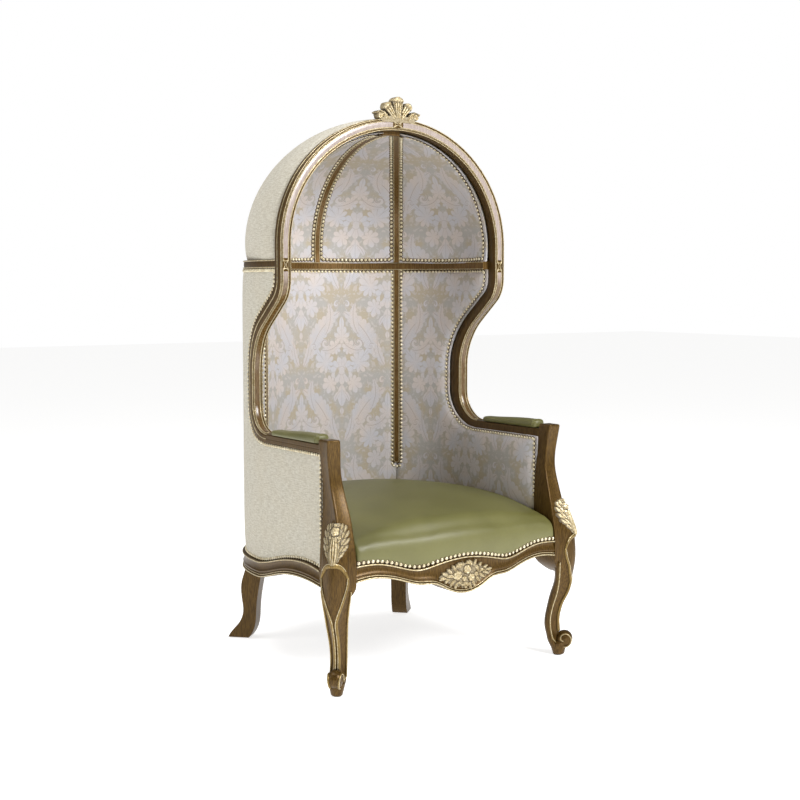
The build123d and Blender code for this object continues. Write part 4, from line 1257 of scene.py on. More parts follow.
def legContour(z):
    tongue, gap, ridge, sideD, sideW, inner = legRow(z)
    frontW = gap * np.linspace(0, 1, 9)
    frontD = tongue + (ridge - tongue) * cornerFall(frontW, gap)
    share = np.linspace(0, 1, 8)[1:]
    flute = np.sin(math.pi * share) * 0.0032 * min(1.0, (sideW - gap) / 0.01)
    flankW = gap + (sideW - gap) * share - flute * 0.6
    flankD = ridge + (sideD - ridge) * share - flute * 0.8
    turn = np.linspace(0, math.pi / 2, 9)[1:]
    backD = sideD - (inner + sideD) * np.sin(turn) ** 0.85
    d = np.concatenate([frontD, flankD, backD])
    w = np.concatenate([frontW, flankW, sideW * np.cos(turn) ** 0.85])
    return footPoint(np.concatenate([d, d[-2:0:-1]]), np.concatenate([w, -w[-2:0:-1]]), z)


def postRow(z):  # inner side, outer side, front and back
    share = (z - leg["blockZ"]) / (leg["postTop"] - leg["blockZ"])
    out, inside, front = (np.interp(share, postShares, row) for row in postRows)
    return np.maximum(leg["x"] - inside, postInside), leg["x"] + out, leg["y"] - front, postBack


def postContour(z, shrink, height):
    left, right, front, back = postRow(z) + np.array([1, -1, 1, -1]) * shrink
    path, corners = [], np.array([(left, back), (right, back), (right, front), (left, front)])
    inwards = {1: (-0.0004, 0), 2: (0, 0.0004)}  # a hair's sunk panel in the outer and front faces
    for k, (at, radius) in enumerate(zip(corners, (0.001, 0.001, 0.0035, 0.003))):
        before, after = unit(corners[k - 1] - at), unit(corners[(k + 1) % 4] - at)
        for t in np.linspace(0, 1, 5):
            path.append(at + radius * ((1 - t) ** 2 * before + t**2 * after))
        if k in inwards:
            length = np.linalg.norm(corners[k + 1] - at)
            for along, sunk in ((0.0065, 0), (0.0085, 1), (length - 0.0085, 1), (length - 0.0065, 0)):
                path.append(at + after * along + np.array(inwards[k]) * sunk)
    return np.hstack([path, np.full((len(path), 1), height)])


def postSurface(w, z):  # outer skin of post and knee, out along the diagonal
    tongue, gap, ridge, _, _, _ = legRow(z)
    knee = tongue + (ridge - tongue) * np.minimum(cornerFall(np.abs(w), gap), 1.6)
    _, right, front, _ = postRow(z)
    sideOut, frontOut = right - leg["x"], leg["y"] - front
    post = np.minimum(math.sqrt(2) * sideOut + w, math.sqrt(2) * frontOut - w)
    return np.maximum(knee, post)


def buildFrontLeg():
    shell = Shell()
    heights = np.concatenate([np.linspace(0.003, 0.02, 3), np.linspace(0.026, 0.475, 92)])
    points = np.array([legContour(min(z, legHeights[-1])) for z in heights])
    points[:, :, 2] = heights[:, None]
    x, y, high = points[..., 0], points[..., 1], points[..., 2] > 0.245  # stay out of the rails' corner
    points[..., 0] = np.where((x < postInside) & high, postInside, x)
    points[..., 1] = np.where((y > postBack) & high, postBack, y)
    shell.loft(points)
    block, under = leg["blockZ"], np.linspace(0, 1, 13)[:-1]
    levels = np.concatenate([
        block - 0.05 * (1 - under), np.linspace(block, 0.676, 64), [0.6785, 0.681, 0.6832, 0.6845, 0.685]
    ])
    shrinks = np.concatenate([np.zeros(76), [0.0, 0.0003, 0.0012, 0.0026, 0.0045]])
    rings = np.array([postContour(max(z, block), k, z) for z, k in zip(levels, shrinks)])
    for ring, share in zip(rings, under):  # the block's inner sides curve down into the leg
        tuck = 0.034 * (1 - share) ** 2
        ring[:, 0] += np.where(ring[:, 0] < leg["x"], tuck, -tuck * 0.6)
        ring[:, 1] += np.where(ring[:, 1] > leg["y"], -tuck, tuck * 0.6)
    shell.loft(rings)
    # toe: a drum with rounded sides and a boss, and the pad under it
    turns = np.linspace(0, 2 * math.pi, 32, endpoint=False)
    cosT, sinT = np.cos(turns), np.sin(turns)
    drum, pad = np.array(leg["drum"]), np.array(leg["pad"])
    radius = np.concatenate([drum[:, 0], drum[-2::-1, 0]])[:, None] * mm
    width = np.concatenate([drum[:, 1], -drum[-2::-1, 1]])[:, None]
    toe = footPoint(leg["toeOut"] + radius * cosT, width, leg["toeZ"] + radius * sinT)
    shell.add(toe, gridFaces(len(radius), 32, False, True))
    high, wide = pad[:, :1], pad[:, 1:]
    foot = (leg["x"] + wide * cosT + 0.003, leg["y"] + wide * sinT - 0.003, high)
    shell.add(np.stack(np.broadcast_arrays(*foot), -1), gridFaces(len(pad), 32, False, True))
    shell.pair("frontLeg", "frameWood", "painted_wood", "front_leg", 38)


def buildLegGold():  # rounded bronze ridges with a rubbed gold line on each
    gold, bronze = Shell(), Shell()
    zs, low = np.linspace(0.072, 0.325, 60), np.linspace(0.052, 0.285, 60)
    _, gap, ridge, _, _, _ = legRow(zs)
    _, _, _, sideD, sideW, _ = legRow(low)
    flare = np.clip((zs - 0.2) / 0.1, 0, 1)
    turn = np.linspace(0, 1, 46)[3:]
    angle, reach = math.pi * (1.05 + 2.3 * turn), 0.0235 * (1 - turn) ** 0.8 + 0.005
    across = np.interp(reach, (0.005, 0.012, 0.018, 0.0235), (0.0215, 0.0188, 0.016, 0.0115))
    alongToe, upToe = leg["toeOut"] + reach * np.cos(angle), leg["toeZ"] + reach * np.sin(angle)
    for hand in (-1, 1):
        ridgeLine = footPoint(ridge - 0.0012, hand * (gap + 0.0008), zs)
        tube(bronze, ridgeLine, leg["ridgeRadius"] - 0.0012 * flare, 10)
        tube(gold, footPoint(ridge + 0.0022, hand * (gap - 0.0013 + 0.001 * flare), zs), 0.0013)
        # the side ridge runs into the toe's spiral
        side = footPoint(sideD + 0.0006, hand * (sideW - 0.0002), low)
        line = resample(np.vstack([side[::-1], footPoint(alongToe, hand * across, upToe)]), 0.003)
        tube(bronze, line, 0.0028, 8)
        shift = footPoint(0.0012, hand * 0.0024, 0.0) - footPoint(0.0, 0.0, 0.0)
        tube(gold, line + shift, leg["goldRadius"])
    span = np.linspace(-1, 1, 61)
    ringZ, w = 0.360 - 0.037 * np.abs(span) ** 2.9, span * 0.0365
    ring = footPoint(postSurface(w, ringZ), w, ringZ)
    outward = unit(footPoint(np.full(61, 0.05), span * 0.045, ringZ) - footPoint(np.zeros(61), 0.0, ringZ))
    swell = 0.0068 - 0.0032 * np.abs(span) ** 3
    tube(bronze, ring + outward * 0.0005, swell, 14, False, 0.62, outward)
    tube(gold, (ring + outward * 0.003 + [0, 0, 0.0058])[5:-5], leg["goldRadius"])
    gold.both().piece("goldLines_legs", "gold", "gilded_carving")
    bronze.both().piece("legRidges", "bronze", "painted_wood")


buildFrontLeg()
buildLegGold()
print("front legs built")

frontRail = {
    "y": -0.396,
    "bow": 0.026,
    "half": 0.341,
    "lineHalf": 0.360,
    "topZ": 0.325,
    "topWave": 0.028,
    "lowZ": 0.243,
    "lowWave": 0.068,
    "thick": 0.038,
    "stripTop": 0.372,
    "stripBack": 0.012,
    "topLine": (
        (0, 0.75), (0.14, 0.62), (0.28, 0.29), (0.42, 0), (0.58, 0.43), (0.76, 0.96), (0.86, 1), (1, 0.86)
    ),
    "lowLine": ((0, 0), (0.15, 0.18), (0.28, 0.5), (0.4, 0.55), (0.56, 0.78), (0.8, 1), (1, 0.86)),
    "bowLine": ((0, 1), (0.3, 0.88), (0.6, 0.42), (0.85, 0.07), (1, 0)),
}
moulding = {  # of every rail: distance from the top or the bottom edge, and how far it stands out
    "top": (
        (0, -0.004), (0, 0.0012), (0.0012, 0.003), (0.003, 0.0034),
        (0.0048, 0.0026), (0.006, 0.0004), (0.0085, -0.0012), (0.0125, -0.0016),
    ),
    "low": (
        (0.0205, 0.0012), (0.018, 0.0028), (0.0155, 0.0022), (0.0125, -0.0006), (0.0095, 0.0014),
        (0.0075, 0.0012), (0.006, -0.0002), (0.0045, 0.0024), (0.002, 0.0032), (0.0, 0.0018), (0.0, -0.004),
    ),
    "height": 0.046,  # lower rails have the same moulding, squeezed
    "goldFromEdge": 0.0028,
    "secondGold": 0.0088,
}


def evenSpline(table, x):  # a line on the front rail, mirrored over the middle
    half = np.array(table, float)
    whole = np.vstack([half[:0:-1] * [-1, 1], half])
    return spline(whole[:, 0], whole[:, 1], np.asarray(x) / frontRail["lineHalf"])


def frontTopZ(x):
    return frontRail["topZ"] + frontRail["topWave"] * evenSpline(frontRail["topLine"], x)


def frontLowZ(x):
    return frontRail["lowZ"] + frontRail["lowWave"] * evenSpline(frontRail["lowLine"], x)


def frontY(x):
    return frontRail["y"] - frontRail["bow"] * evenSpline(frontRail["bowLine"], x)


def railSection(top, low):  # heights and reaches of the face from top to bottom
    squeeze = min(1.0, (top - low) / moulding["height"])
    upper, lower = np.array(moulding["top"]), np.array(moulding["low"])
    upperZ, lowerZ = top - upper[:, 0] * squeeze, low + lower[:, 0] * squeeze
    share = np.array([0.33, 0.66])
    middleZ = upperZ[-1] * (1 - share) + lowerZ[0] * share
    outs = np.concatenate([upper[:, 1], -0.0016 + 0.0022 * share, lower[:, 1]])
    return np.concatenate([upperZ, middleZ, lowerZ]), outs


def buildFrontRail():
    xs = np.linspace(-frontRail["half"], frontRail["half"], 150)
    yFace, top, low = frontY(xs), frontTopZ(xs), frontLowZ(xs)
    inner, strip, deepY = frontRail["y"] + frontRail["thick"], frontRail["stripTop"], frontRail["stripBack"]
    rows = []
    for x, y, t, l in zip(xs, yFace, top, low):
        zs, outs = railSection(t, l)
        face = np.stack([np.full(len(zs), x), y - outs, zs], 1)
        back = ((x, inner, l), (x, inner, strip), (x, y + deepY, strip), (x, y + deepY, t))
        rows.append(np.vstack([face, back]))
    shell, gold = Shell(), Shell()
    shell.loft(np.array(rows))
    shell.piece("frontRail", "frameWood", "painted_wood", ("front_rail",), 40)
    near, second = moulding["goldFromEdge"], moulding["secondGold"]
    for out, z, radius, sides in (
        (0.0033, top - near, 0.0019, 8), (0.0030, low + near, 0.0019, 8), (0.0012, low + second, 0.0011, 6)
    ):
        tube(gold, np.stack([xs, yFace - out, z], 1), radius, sides)
    gold.piece("goldLines_frontRail", "gold", "gilded_carving")


def buildSideRails():
    ends = (chair["postBackY"], diagonalS, 2 * backS - diagonalS, 2 * backS - chair["postBackY"])
    names = (
        ("sideRail_right", "side_rail_right"), ("backRail", "back_rail"), ("sideRail_left", "side_rail_left"),
    )
    gold = Shell()
    near, second = moulding["goldFromEdge"], moulding["secondGold"]
    for (name, node), start, stop in zip(names, ends[:-1], ends[1:]):
        run = np.linspace(start, stop, 110)
        top, low = railTop(run), railLow(run)
        rows = []
        for s, t, l in zip(run, top, low):
            zs, outs = railSection(t, l)
            zs = np.append(zs, [l, frontRail["stripTop"], frontRail["stripTop"], t])
            rows.append(wallPoints(s, zs, np.append(-0.004 - outs, [0.034, 0.034, 0.0125, 0.0125])))
        shell = Shell()
        shell.loft(np.array(rows))
        shell.piece(name, "frameWood", "painted_wood", (node,), 40)
        goldLines = ((top - near, 0.0073, 0.0017), (low + near, 0.007, 0.0017), (low + second, 0.0052, 0.001))
        for z, out, radius in goldLines:
            tube(gold, wallPoints(run, z, -out), radius)
    gold.piece("goldLines_rails", "gold", "gilded_carving")


buildFrontRail()
buildSideRails()
print("rails built")


def roseRelief(u, v, cu, cv, radius, petals, turn):
    du, dv = u - cu, v - cv
    r, a = np.hypot(du, dv) / radius, np.arctan2(dv, du) + turn
    whorl = np.abs(np.sin(a * petals / 2 + 2.2 * r))
    rim = 0.82 + 0.18 * whorl
    dome = np.sqrt(np.clip(1 - (r / rim) ** 2, 0, 1))
    folds = 0.72 + 0.28 * np.abs(np.sin(5.5 * r - a * 0.9))
    heart = 0.35 * np.exp(-((r / 0.22) ** 2))
    return np.where(r < rim, dome**0.6 * folds * (0.8 + 0.2 * whorl) + heart, 0)


def leafRelief(u, v, cu, cv, tilt, length, width, bend, lobes):
    du, dv = u - cu, v - cv
    along = (du * math.cos(tilt) + dv * math.sin(tilt)) / length
    across = (dv * math.cos(tilt) - du * math.sin(tilt)) / width - bend * along**2
    off = np.abs(across)
    scallop = 0.78 + 0.22 * np.abs(np.cos(along * lobes * math.pi / 2 + off))
    edge = np.clip(1 - along**2, 0, 1) ** 0.6 * scallop
    body = np.clip(1 - (off / np.maximum(edge, 1e-3)) ** 2, 0, 1) ** 0.5
    veins = 1 - 0.35 * np.abs(np.sin(along * lobes * 2.6 - off * 2.2)) ** 4
    return np.where(off < edge, body * veins * 0.8 + 0.25 * np.exp(-((across / 0.12) ** 2)), 0)


def fanRelief(u, v, cu, cv, tilt, radius):  # a small ribbed shell
    du, dv = u - cu, v - cv
    r = np.hypot(du, dv) / radius
    a = np.mod(np.arctan2(dv, du) - tilt + math.pi, 2 * math.pi) - math.pi
    rib = np.abs(np.cos(a * 5 / 1.1))
    inside = (r < 0.88 + 0.12 * rib) & (np.abs(a) < 1.25)
    return np.where(inside, (0.4 + 0.6 * rib) * np.sqrt(np.clip(1.02 - r**3, 0, 1)), 0)


def carve(relief, u, v, form, table, high=1.0, groove=1.17):  # forms with a groove cut round each
    for cu, cv, *values in table:
        halo = form(cu + (u - cu) / groove, cv + (v - cv) / groove, cu, cv, *values) > 0
        body = form(u, v, cu, cv, *values) * high
        cut = np.where(halo, np.minimum(relief, 0.1), relief)
        relief = np.where(body > 0.02, np.maximum(body, 0.22), cut)
    return relief


def reliefShell(points, relief, turned=False):  # only the faces that touch the carving
    faces, shell = gridFaces(*relief.shape), Shell()
    faces = faces[(relief > 0.02).ravel()[faces].any(1)]
    used, place = np.unique(faces, return_inverse=True)
    faces = place.reshape(faces.shape)[:, :: -1 if turned else 1]
    shell.add(points.reshape(-1, 3)[used], faces, np.clip(relief, 0, 1).ravel()[used])
    return shell


apron = {
    "half": 0.092,
    "tall": 0.044,
    "liftZ": 0.294,
    "leaves": (  # middle, tilt, length, width, bend, lobes
        (-0.078, -0.003, 3.25, 0.0125, 0.0062, 0.4, 3), (-0.070, 0.007, 2.75, 0.013, 0.0062, -0.3, 3),
        (-0.062, -0.009, 3.7, 0.013, 0.0064, 0.3, 3), (-0.055, 0.014, 2.4, 0.012, 0.0064, 0.2, 3),
        (-0.052, 0.001, 3.1, 0.0145, 0.007, 0.3, 4), (-0.046, -0.018, 3.9, 0.0125, 0.0062, 0.2, 3),
        (-0.040, 0.022, 2.2, 0.012, 0.0062, 0.2, 3), (-0.034, -0.027, 4.2, 0.0115, 0.0058, 0.2, 3),
        (0.078, 0.006, 0.15, 0.012, 0.0058, 0.3, 3), (0.068, 0.000, -0.3, 0.0125, 0.006, -0.3, 3),
        (0.064, 0.013, 0.5, 0.0125, 0.006, 0.3, 3), (0.054, -0.007, -0.6, 0.013, 0.0064, 0.2, 3),
        (0.050, 0.008, 0.1, 0.0145, 0.007, -0.3, 4), (0.046, 0.021, 0.8, 0.012, 0.0062, 0.2, 3),
        (0.040, -0.015, -0.9, 0.012, 0.006, 0.2, 3), (0.030, 0.030, 1.1, 0.0105, 0.0056, 0.2, 3),
        (0.026, -0.025, -1.1, 0.0115, 0.006, -0.2, 3), (0.014, -0.031, -1.4, 0.011, 0.0058, 0.2, 3),
    ),
    "fans": (  # middle, tilt, radius
        (-0.022, 0.022, 1.9, 0.0155), (0.010, 0.026, 1.4, 0.015),
        (0.034, 0.012, 0.5, 0.013), (0.000, -0.020, -1.7, 0.015),
    ),
    "roses": (  # middle, radius, petals, turn
        (-0.029, 0.001, 0.015, 6, 0.3), (0.004, 0.015, 0.0135, 5, 1.2), (0.018, -0.009, 0.0115, 6, 2.0),
        (-0.006, -0.010, 0.0085, 5, 0.7), (0.034, -0.001, 0.0075, 5, 0.2), (-0.022, -0.020, 0.005, 4, 0.0),
        (-0.013, -0.027, 0.0046, 4, 0.5), (-0.003, -0.033, 0.0046, 4, 1.0),
        (0.010, -0.026, 0.0048, 4, 0.2), (-0.012, 0.031, 0.0048, 4, 0.3),
    ),
}


def buildApronCarving():
    half, tall = apron["half"], apron["tall"]
    u, v = np.meshgrid(np.linspace(-half, half, 230), np.linspace(-tall, tall, 120))
    outline = 0.040 * np.clip(1 - np.abs(u / 0.090) ** 1.35, 0, 1) ** 0.85 * (0.9 + 0.1 * np.sin(u * 420))
    ground = 0.24 + 0.12 * np.abs(np.sin(u * 900 + v * 300) * np.sin(v * 800 - u * 260))
    relief = np.where(np.abs(v - 0.001) < outline, ground, 0)
    relief = carve(relief, u, v, leafRelief, apron["leaves"], 0.8)
    relief = carve(relief, u, v, fanRelief, apron["fans"], 0.9)
    relief = carve(relief, u, v, roseRelief, apron["roses"])
    height = np.where(relief > 0.02, 0.001 + 0.0095 * relief, -0.003)
    shell = reliefShell(np.stack([u, frontY(u) - 0.0005 - height, apron["liftZ"] + v], -1), relief)
    shell.piece("apronCarving", "carving", "gilded_carving", ("apron_carving",))


postCarving = {
    "low": 0.362,
    "high": 0.468,
    "half": 0.038,
    "leaves": (  # right half: place, tilt, length, width, bend
        (0.0205, 0.387, 0.95, 0.0095, 0.0042, 0.3), (0.027, 0.402, 0.85, 0.01, 0.0046, 0.3),
        (0.0185, 0.403, 1.15, 0.0095, 0.0042, -0.3), (0.0295, 0.419, 0.95, 0.01, 0.0046, 0.3),
        (0.0215, 0.421, 1.10, 0.0095, 0.0044, -0.3), (0.013, 0.425, 1.20, 0.008, 0.0036, 0.3),
        (0.0285, 0.437, 1.15, 0.01, 0.0046, 0.3), (0.0205, 0.440, 1.35, 0.0095, 0.0044, -0.3),
        (0.024, 0.453, 1.50, 0.0085, 0.0044, 0.3), (0.016, 0.459, 1.45, 0.0075, 0.0042, 0.2),
    ),
    "roses": (
        (0.0, 0.447, 0.0125, 5, 0.4), (0.0, 0.463, 0.0052, 4, 0.3),
        (0.0125, 0.431, 0.0052, 4, 0.3), (-0.0125, 0.431, 0.0052, 4, 0.3),
    ),
}


def buildPostCarvings():
    low, high, half = (postCarving[k] for k in ("low", "high", "half"))
    w, z = np.meshgrid(np.linspace(-half, half, 110), np.linspace(low, high, 140))
    t = (z - low) / (high - low)
    outline = np.clip(np.sin(math.pi * np.clip(t * 0.84 + 0.13, 0, 1)), 0, 1) ** 0.5
    outline = 0.0325 * outline * np.where(t < 0.35, 0.42 + 1.66 * t, 1) * (0.96 + 0.04 * np.sin(z * 700))
    lace = 0.24 + 0.22 * np.abs(np.sin(w * 640 + z * 300) * np.sin(z * 560 - w * 200))
    relief = np.where(np.abs(w) < outline, lace, 0)
    # three reeds that spread and close again, with a groove round them
    spread = 0.0065 + 0.0085 * np.sin(math.pi * np.clip(t / 0.72, 0, 1)) ** 0.8
    reed = np.abs(np.cos(np.clip(w / spread, -1, 1) * 2 * math.pi)) ** 0.8
    reed = 0.1 + 0.82 * reed * np.sqrt(np.clip(1 - (w / spread / 1.15) ** 2, 0, 1))
    relief = np.where((np.abs(w) < spread * 1.12) & (t < 0.7), 0.08, relief)
    relief = np.where((np.abs(w) < spread) & (t < 0.68), reed, relief)
    leaves = [
        (hand * cw, cz, tilt if hand > 0 else math.pi - tilt, length, width, bend * hand, 3)
        for cw, cz, tilt, length, width, bend in postCarving["leaves"] for hand in (1, -1)
    ]
    relief = carve(relief, w, z, leafRelief, leaves, 0.78)
    relief = carve(relief, w, z, roseRelief, postCarving["roses"])
    height = np.where(relief > 0.02, 0.0012 + 0.0078 * relief, -0.004)
    shell = reliefShell(footPoint(postSurface(w, z) + height, w, z), relief, True)
    shell.pair("postCarving", "carving", "gilded_carving")


crest = {
    "y": -0.083,
    "thick": 0.026,
    "leaves": ((-0.052, 0.010, 2.75, 0.023, 0.0105, 0.5, 4), (0.052, 0.010, 0.39, 0.023, 0.0105, -0.5, 4)),
    "lobes": (  # of the shell, spread from its foot: tilt, width, reach, flutes
        (0.66, 0.0165, 0.051, 1.5), (-0.66, 0.0165, 0.051, 1.5), (0.0, 0.0215, 0.0585, 2.0),
    ),
    "roses": ((0.061, 0.006, 0.01, 3, 0.5), (-0.061, 0.006, 0.01, 3, -0.5)),
}


def lobeRelief(relief, u, v, tilt, width, reach, flutes):
    du = u - 0.009 * np.sign(tilt)
    along = (v * math.cos(tilt) + du * math.sin(tilt)) / reach
    across = du * math.cos(tilt) - v * math.sin(tilt)
    swell = width * (0.42 + 0.58 * np.clip(along, 0, 1) ** 1.2)
    swell = swell * np.sqrt(np.clip((1.06 - along) / 0.22, 0, 1))
    share = np.abs(across) / np.maximum(swell, 1e-4)
    inside = (along > 0) & (along < 1.06) & (share < 1)
    near = (along > -0.05) & (along < 1.1) & (share < 1.13)
    ridges = 0.16 + 0.84 * np.abs(np.cos(np.clip(share, 0, 1) * flutes * math.pi)) ** 0.6
    head, throat = np.exp(-(((along - 0.93) / 0.09) ** 2)), np.exp(-(((along - 0.78) / 0.04) ** 2))
    body = np.sqrt(np.clip(1 - share**2 * 0.8, 0, 1)) * (ridges * (1 - head) + head)
    body = body * (1 - 0.55 * throat) * (0.62 + 0.38 * head)
    relief = np.where(near, np.minimum(relief, 0.12), relief)
    return np.where(inside, np.maximum(body, 0.14), relief)


def buildCrest():
    u, v = np.meshgrid(np.linspace(-0.082, 0.082, 240), np.linspace(-0.012, 0.066, 120))
    relief = np.zeros_like(u)
    for values in crest["leaves"]:
        relief = np.maximum(relief, 0.8 * leafRelief(u, v, *values))
    for values in crest["lobes"]:
        relief = lobeRelief(relief, u, v, *values)
    relief = carve(relief, u, v, roseRelief, crest["roses"])
    relief = np.maximum(relief, 0.3 * (np.hypot(u / 0.060, (v + 0.006) / 0.014) < 1))
    faces = gridFaces(*u.shape)
    faces = faces[(relief > 0.02).ravel()[faces].all(1)]
    y, z, total = crest["y"], springZ + chair["archRise"] + v, u.size
    front = np.stack([u, y - 0.002 - 0.0095 * relief, z], -1).reshape(-1, 3)
    back = np.stack([u, y + crest["thick"] - 0.009 + 0.007 * relief, z], -1).reshape(-1, 3)
    pairs = {(int(a), int(b)) for face in faces for a, b in zip(face, np.roll(face, -1))}
    walls = [(b, a, a + total, b + total) for a, b in sorted(pairs) if (b, a) not in pairs]
    faces = np.vstack([faces, faces[:, ::-1] + total, walls])
    used, place = np.unique(faces, return_inverse=True)
    shell, height = Shell(), np.tile(np.clip(relief.ravel(), 0, 1), 2)
    shell.add(np.vstack([front, back])[used], place.reshape(faces.shape), height[used])
    shell.piece("crestCarving", "carving", "gilded_carving", ("crest_carving",), 60)


buildApronCarving()
buildPostCarvings()
buildCrest()
print("carvings built")

slotLooks = {  # for the CAD nodes that stay in view
    "painted_wood": "frameWood",
    "gilded_carving": "carving",
    "dark_ribs": "rib",
    "plain_wood": "plainWood",
    "dust_cloth": "dust",
    "screws": "steel",
    "glides": "glide",
    "olive_leather": "leather",
    "damask_lining": "damask",
    "linen_cover": "linen",
}
for part in frame["record"]["subparts"]:
    mesh = nodes[part["node"]].data
    mesh.materials.clear()
    mesh.materials.append(look[slotLooks[part["material_slot"]]])

soft = {
    "pressure": 4.0,
    "tension": 40,
    "frames": 20,
    "seatVoxel": 0.007,
    "seatCap": 0.012,  # the most that the cloth may move
    "padVoxel": 0.004,
    "padCap": 0.004,
    "padTaper": 0.36,
    "rollDeep": 0.088,
    "rollPower": 2.2,  # 2 is a round roll, more is squarer
    "rollFoot": 0.012,  # over the front rail
}


def placesOf(piece):
    return np.array([v.co for v in piece.data.vertices])


def setPlaces(piece, places):
    piece.data.vertices.foreach_set("co", places.astype(np.float32).ravel())


def applyNow(piece, kind, **settings):
    modifier = piece.modifiers.new(kind.lower(), kind)
    for label, value in settings.items():
        setattr(modifier, label, value)
    bpy.ops.object.modifier_apply(modifier=modifier.name)


def fillWithPressure(piece, cap, pinned):
    start, scene = placesOf(piece), bpy.context.scene
    pins = piece.vertex_groups.new(name="tacked")
    pins.add([int(k) for k in np.flatnonzero(pinned(start))], 1.0, "REPLACE")
    cloth = piece.modifiers.new("cloth", "CLOTH")
    cloth.settings.use_pressure = True
    cloth.settings.uniform_pressure_force = soft["pressure"]
    cloth.settings.effector_weights.gravity = 0.0
    cloth.settings.vertex_group_mass = "tacked"
    cloth.settings.tension_stiffness = soft["tension"]
    for step in range(1, soft["frames"] + 1):
        scene.frame_set(step)
    bpy.ops.object.modifier_apply(modifier=cloth.name)
    scene.frame_set(1)
    moved = placesOf(piece) - start
    length = np.linalg.norm(moved, axis=1, keepdims=True)
    setPlaces(piece, start + moved * np.minimum(1.0, cap / np.maximum(length, 1e-9)))


def taperBack(piece):  # the pad grows thinner towards its back end
    now = placesOf(piece)
    share = smoothStep(0.1, 1.0, (now[:, 1] - now[:, 1].min()) / np.ptp(now[:, 1]))
    low = now[:, 2].min()
    now[:, 2] = low + (now[:, 2] - low) * (1 - soft["padTaper"] * share)
    setPlaces(piece, now)


def rollFront(piece):  # stuffs the front edge into one wide roll, from the nails up to the crown
    now, rollDeep, power = placesOf(piece), soft["rollDeep"], soft["rollPower"]
    x, z, deep = now[:, 0], now[:, 2], now[:, 1] - frontY(now[:, 0])
    stations, band = np.linspace(-0.34, 0.34, 35), np.abs(deep - rollDeep) < 0.012
    crown = np.array([z[band & (np.abs(x - at) < 0.03)].max() for at in stations])
    crown = np.convolve(np.pad(crown, 3, "edge"), np.ones(7) / 7, "valid")
    foot = frontTopZ(x) + soft["rollFoot"]
    tall = np.interp(x, stations, crown) - foot
    a, b = np.clip(1 - deep / rollDeep, 0, 1), np.clip((z - foot) / tall, 0, None)
    pull = 1 - 1 / np.maximum(1, (a**power + b**power) ** (1 / power))
    pull = np.where((a > 0) & (b > 0), pull, 0)
    now[:, 1] += rollDeep * a * pull
    now[:, 2] -= tall * b * pull
    setPlaces(piece, now)
    y, z = placesOf(piece)[:, 1:].T
    weights = smoothStep(-0.17, -0.30, y) * smoothStep(0.345, 0.43, z)
    group = piece.vertex_groups.new(name="roll")
    for k in np.flatnonzero(weights > 0.01):
        group.add([int(k)], float(weights[k]), "REPLACE")
    applyNow(piece, "SMOOTH", iterations=20, factor=0.5, vertex_group="roll")


def softCopy(nodeName, pieceName, voxel, cap, pinned, shape):
    piece = addObject(pieceName, nodes[nodeName].data.copy())
    for other in bpy.context.selected_objects:
        other.select_set(False)
    bpy.context.view_layer.objects.active = piece
    piece.select_set(True)
    applyNow(piece, "WELD", merge_threshold=0.0002)
    applyNow(piece, "REMESH", mode="VOXEL", voxel_size=voxel)
    fillWithPressure(piece, cap, pinned)
    shape(piece)
    applyNow(piece, "SMOOTH", iterations=4, factor=0.5)
    piece.data.polygons.foreach_set("use_smooth", [True] * len(piece.data.polygons))
    piece.data.materials.clear()
    piece.data.materials.append(look["leather"])
    smooth = piece.modifiers.new("smooth", "SUBSURF")
    smooth.levels = smooth.render_levels = 1
    claim(piece, (nodeName,))
    return piece


def seatTacked(p):
    return (p[:, 2] < 0.40) | (np.abs(p[:, 0]) > 0.325) | (p[:, 1] > 0.3)


def padTacked(p):
    return p[:, 2] < 0.674


seat = softCopy("seat_cushion", "leatherSeat", soft["seatVoxel"], soft["seatCap"], seatTacked, rollFront)
padForm = (soft["padVoxel"], soft["padCap"], padTacked, taperBack)
pads = [softCopy(f"arm_pad_{side}", f"leatherArmPad_{side}", *padForm) for side in ("right", "left")]
print("leather made")


def onMesh(piece, starts, direction):  # where rays meet the finished leather
    tree = BVHTree.FromObject(piece, bpy.context.evaluated_depsgraph_get())
    hits = [tree.ray_cast(Vector(p), Vector(direction)) for p in starts]
    kept = [(tuple(h[0]), tuple(h[1])) for h in hits if h[0] is not None]
    return np.array(kept).reshape(-1, 2, 3).transpose(1, 0, 2)


def buildSeatNails():
    xs = np.linspace(-0.334, 0.334, 300)
    starts = np.stack([xs, np.full(300, -0.6), frontTopZ(xs) + 0.0062], 1)
    points, normals = onMesh(seat, starts, (0, 1, 0))
    trim("seat", points, unit(normals * [1, 1, 0.3]))


def buildPadWelts():  # the seam round the front end of each arm pad
    shell = Shell()
    for pad in pads:
        low, high = placesOf(pad).min(0), placesOf(pad).max(0)
        middle = np.array([(low[0] + high[0]) / 2, low[1] + 0.012, low[2] + 0.004])
        path = []
        for angle in np.linspace(-0.1, math.pi + 0.1, 40):
            out = np.array([math.cos(angle), 0, math.sin(angle)])
            hits, _ = onMesh(pad, [middle + out * 0.09], tuple(-out))
            path += [hit + out * 0.0004 for hit in hits]
        tube(shell, resample(np.array(path), 0.003), 0.0013, 8)
    shell.piece("padWelts", "leather", "olive_leather")


buildSeatNails()
buildPadWelts()
# nail heads, and the dark discs of painted shadow under them
for name, material, shells in (("nails", "nail", nailShells), ("nailShadowDiscs", "rim", nailShadowShells)):
    for kind, shell in shells.items():
        shell.piece(f"{name}_{kind}", material, "gilded_carving")
print("nails set")

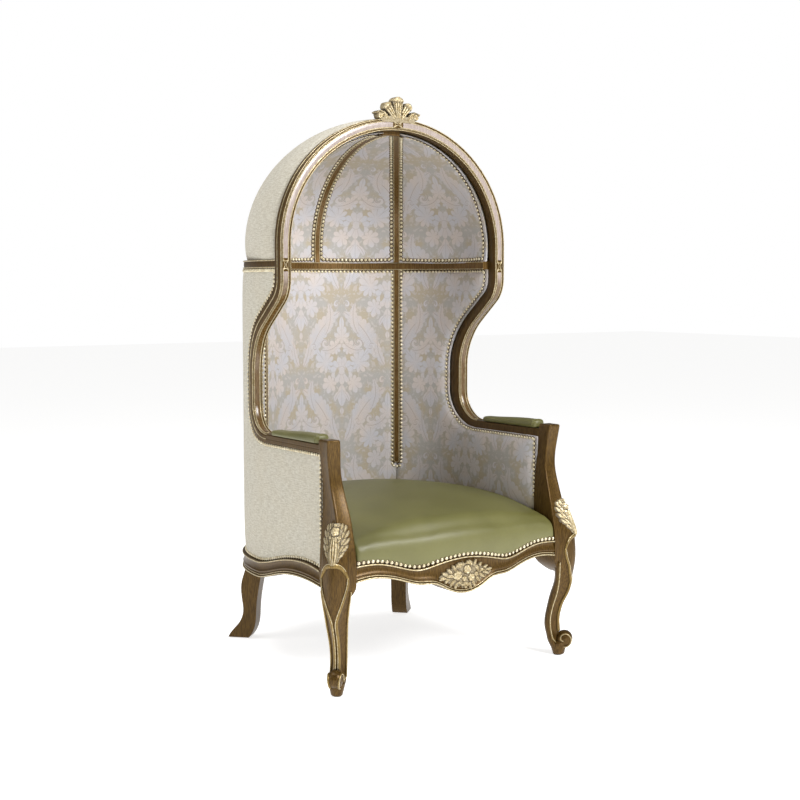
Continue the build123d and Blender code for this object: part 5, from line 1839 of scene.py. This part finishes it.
stage = {
    "floorSize": 40.0,
    "floorZ": -0.0005,
    "floorTone": 0.94,
    "floorGlow": 0.74,
    "skyLight": 0.22,
    "aim": (0, 0, 0.8),
    "lamps": (  # name, place, size, power
        ("key", (0.8, -3.4, 2.8), 1.6, 170.0),
        ("side", (-3.3, 0.9, 2.0), 2.2, 24.0),
        ("top", (-0.8, 0.3, 3.4), 2.0, 42.0),
    ),
}
camera = {"place": (-2.301, -3.540, 1.103), "heading": 33.75, "down": 4.77, "lens": 63.6, "sensor": 36.0}


def buildStage():
    scene, half, white = bpy.context.scene, stage["floorSize"] / 2, (1.0, 1.0, 1.0)
    mesh = bpy.data.meshes.new("floor")
    corners = [(x * half, y * half, stage["floorZ"]) for x, y in ((-1, -1), (1, -1), (1, 1), (-1, 1))]
    mesh.from_pydata(corners, [], [(0, 1, 2, 3)])
    paint = Paint("floor", None, Roughness=0.9, Base_Color=(stage["floorTone"],) * 3)
    paint.set(Emission_Color=white, Emission_Strength=stage["floorGlow"])
    mesh.materials.append(paint.material)
    addObject("floor", mesh)
    scene.world = bpy.data.worlds.new("studio")
    scene.world.use_nodes = True
    tree = scene.world.node_tree
    seen, cast = tree.nodes["Background"], tree.nodes.new("ShaderNodeBackground")
    for node, colour, strength in ((seen, white, 1.0), (cast, (1.0, 0.99, 0.97), stage["skyLight"])):
        feed(tree, node.inputs["Color"], colour)
        feed(tree, node.inputs["Strength"], strength)
    mix, path = tree.nodes.new("ShaderNodeMixShader"), tree.nodes.new("ShaderNodeLightPath")
    sources = (path.outputs["Is Camera Ray"], cast.outputs["Background"], seen.outputs["Background"])
    for socket, source in zip(mix.inputs, sources):
        feed(tree, socket, source)
    feed(tree, tree.nodes["World Output"].inputs["Surface"], mix.outputs["Shader"])
    scene.view_settings.view_transform = "Standard"
    for name, place, size, power in stage["lamps"]:
        light = bpy.data.lights.new(name, "AREA")
        light.size, light.energy = size, power
        lamp = addObject(name, light)
        lamp.location = place
        towards = Vector(stage["aim"]) - Vector(place)
        lamp.rotation_euler = towards.to_track_quat("-Z", "Y").to_euler()


def buildCamera():
    data = bpy.data.cameras.new("camera")
    data.lens, data.sensor_width = camera["lens"], camera["sensor"]
    made = addObject("camera", data)
    made.location = camera["place"]
    made.rotation_euler = (math.radians(90 - camera["down"]), 0, math.radians(-camera["heading"]))
    bpy.context.scene.camera = made


buildStage()
buildCamera()
print("stage and camera set")
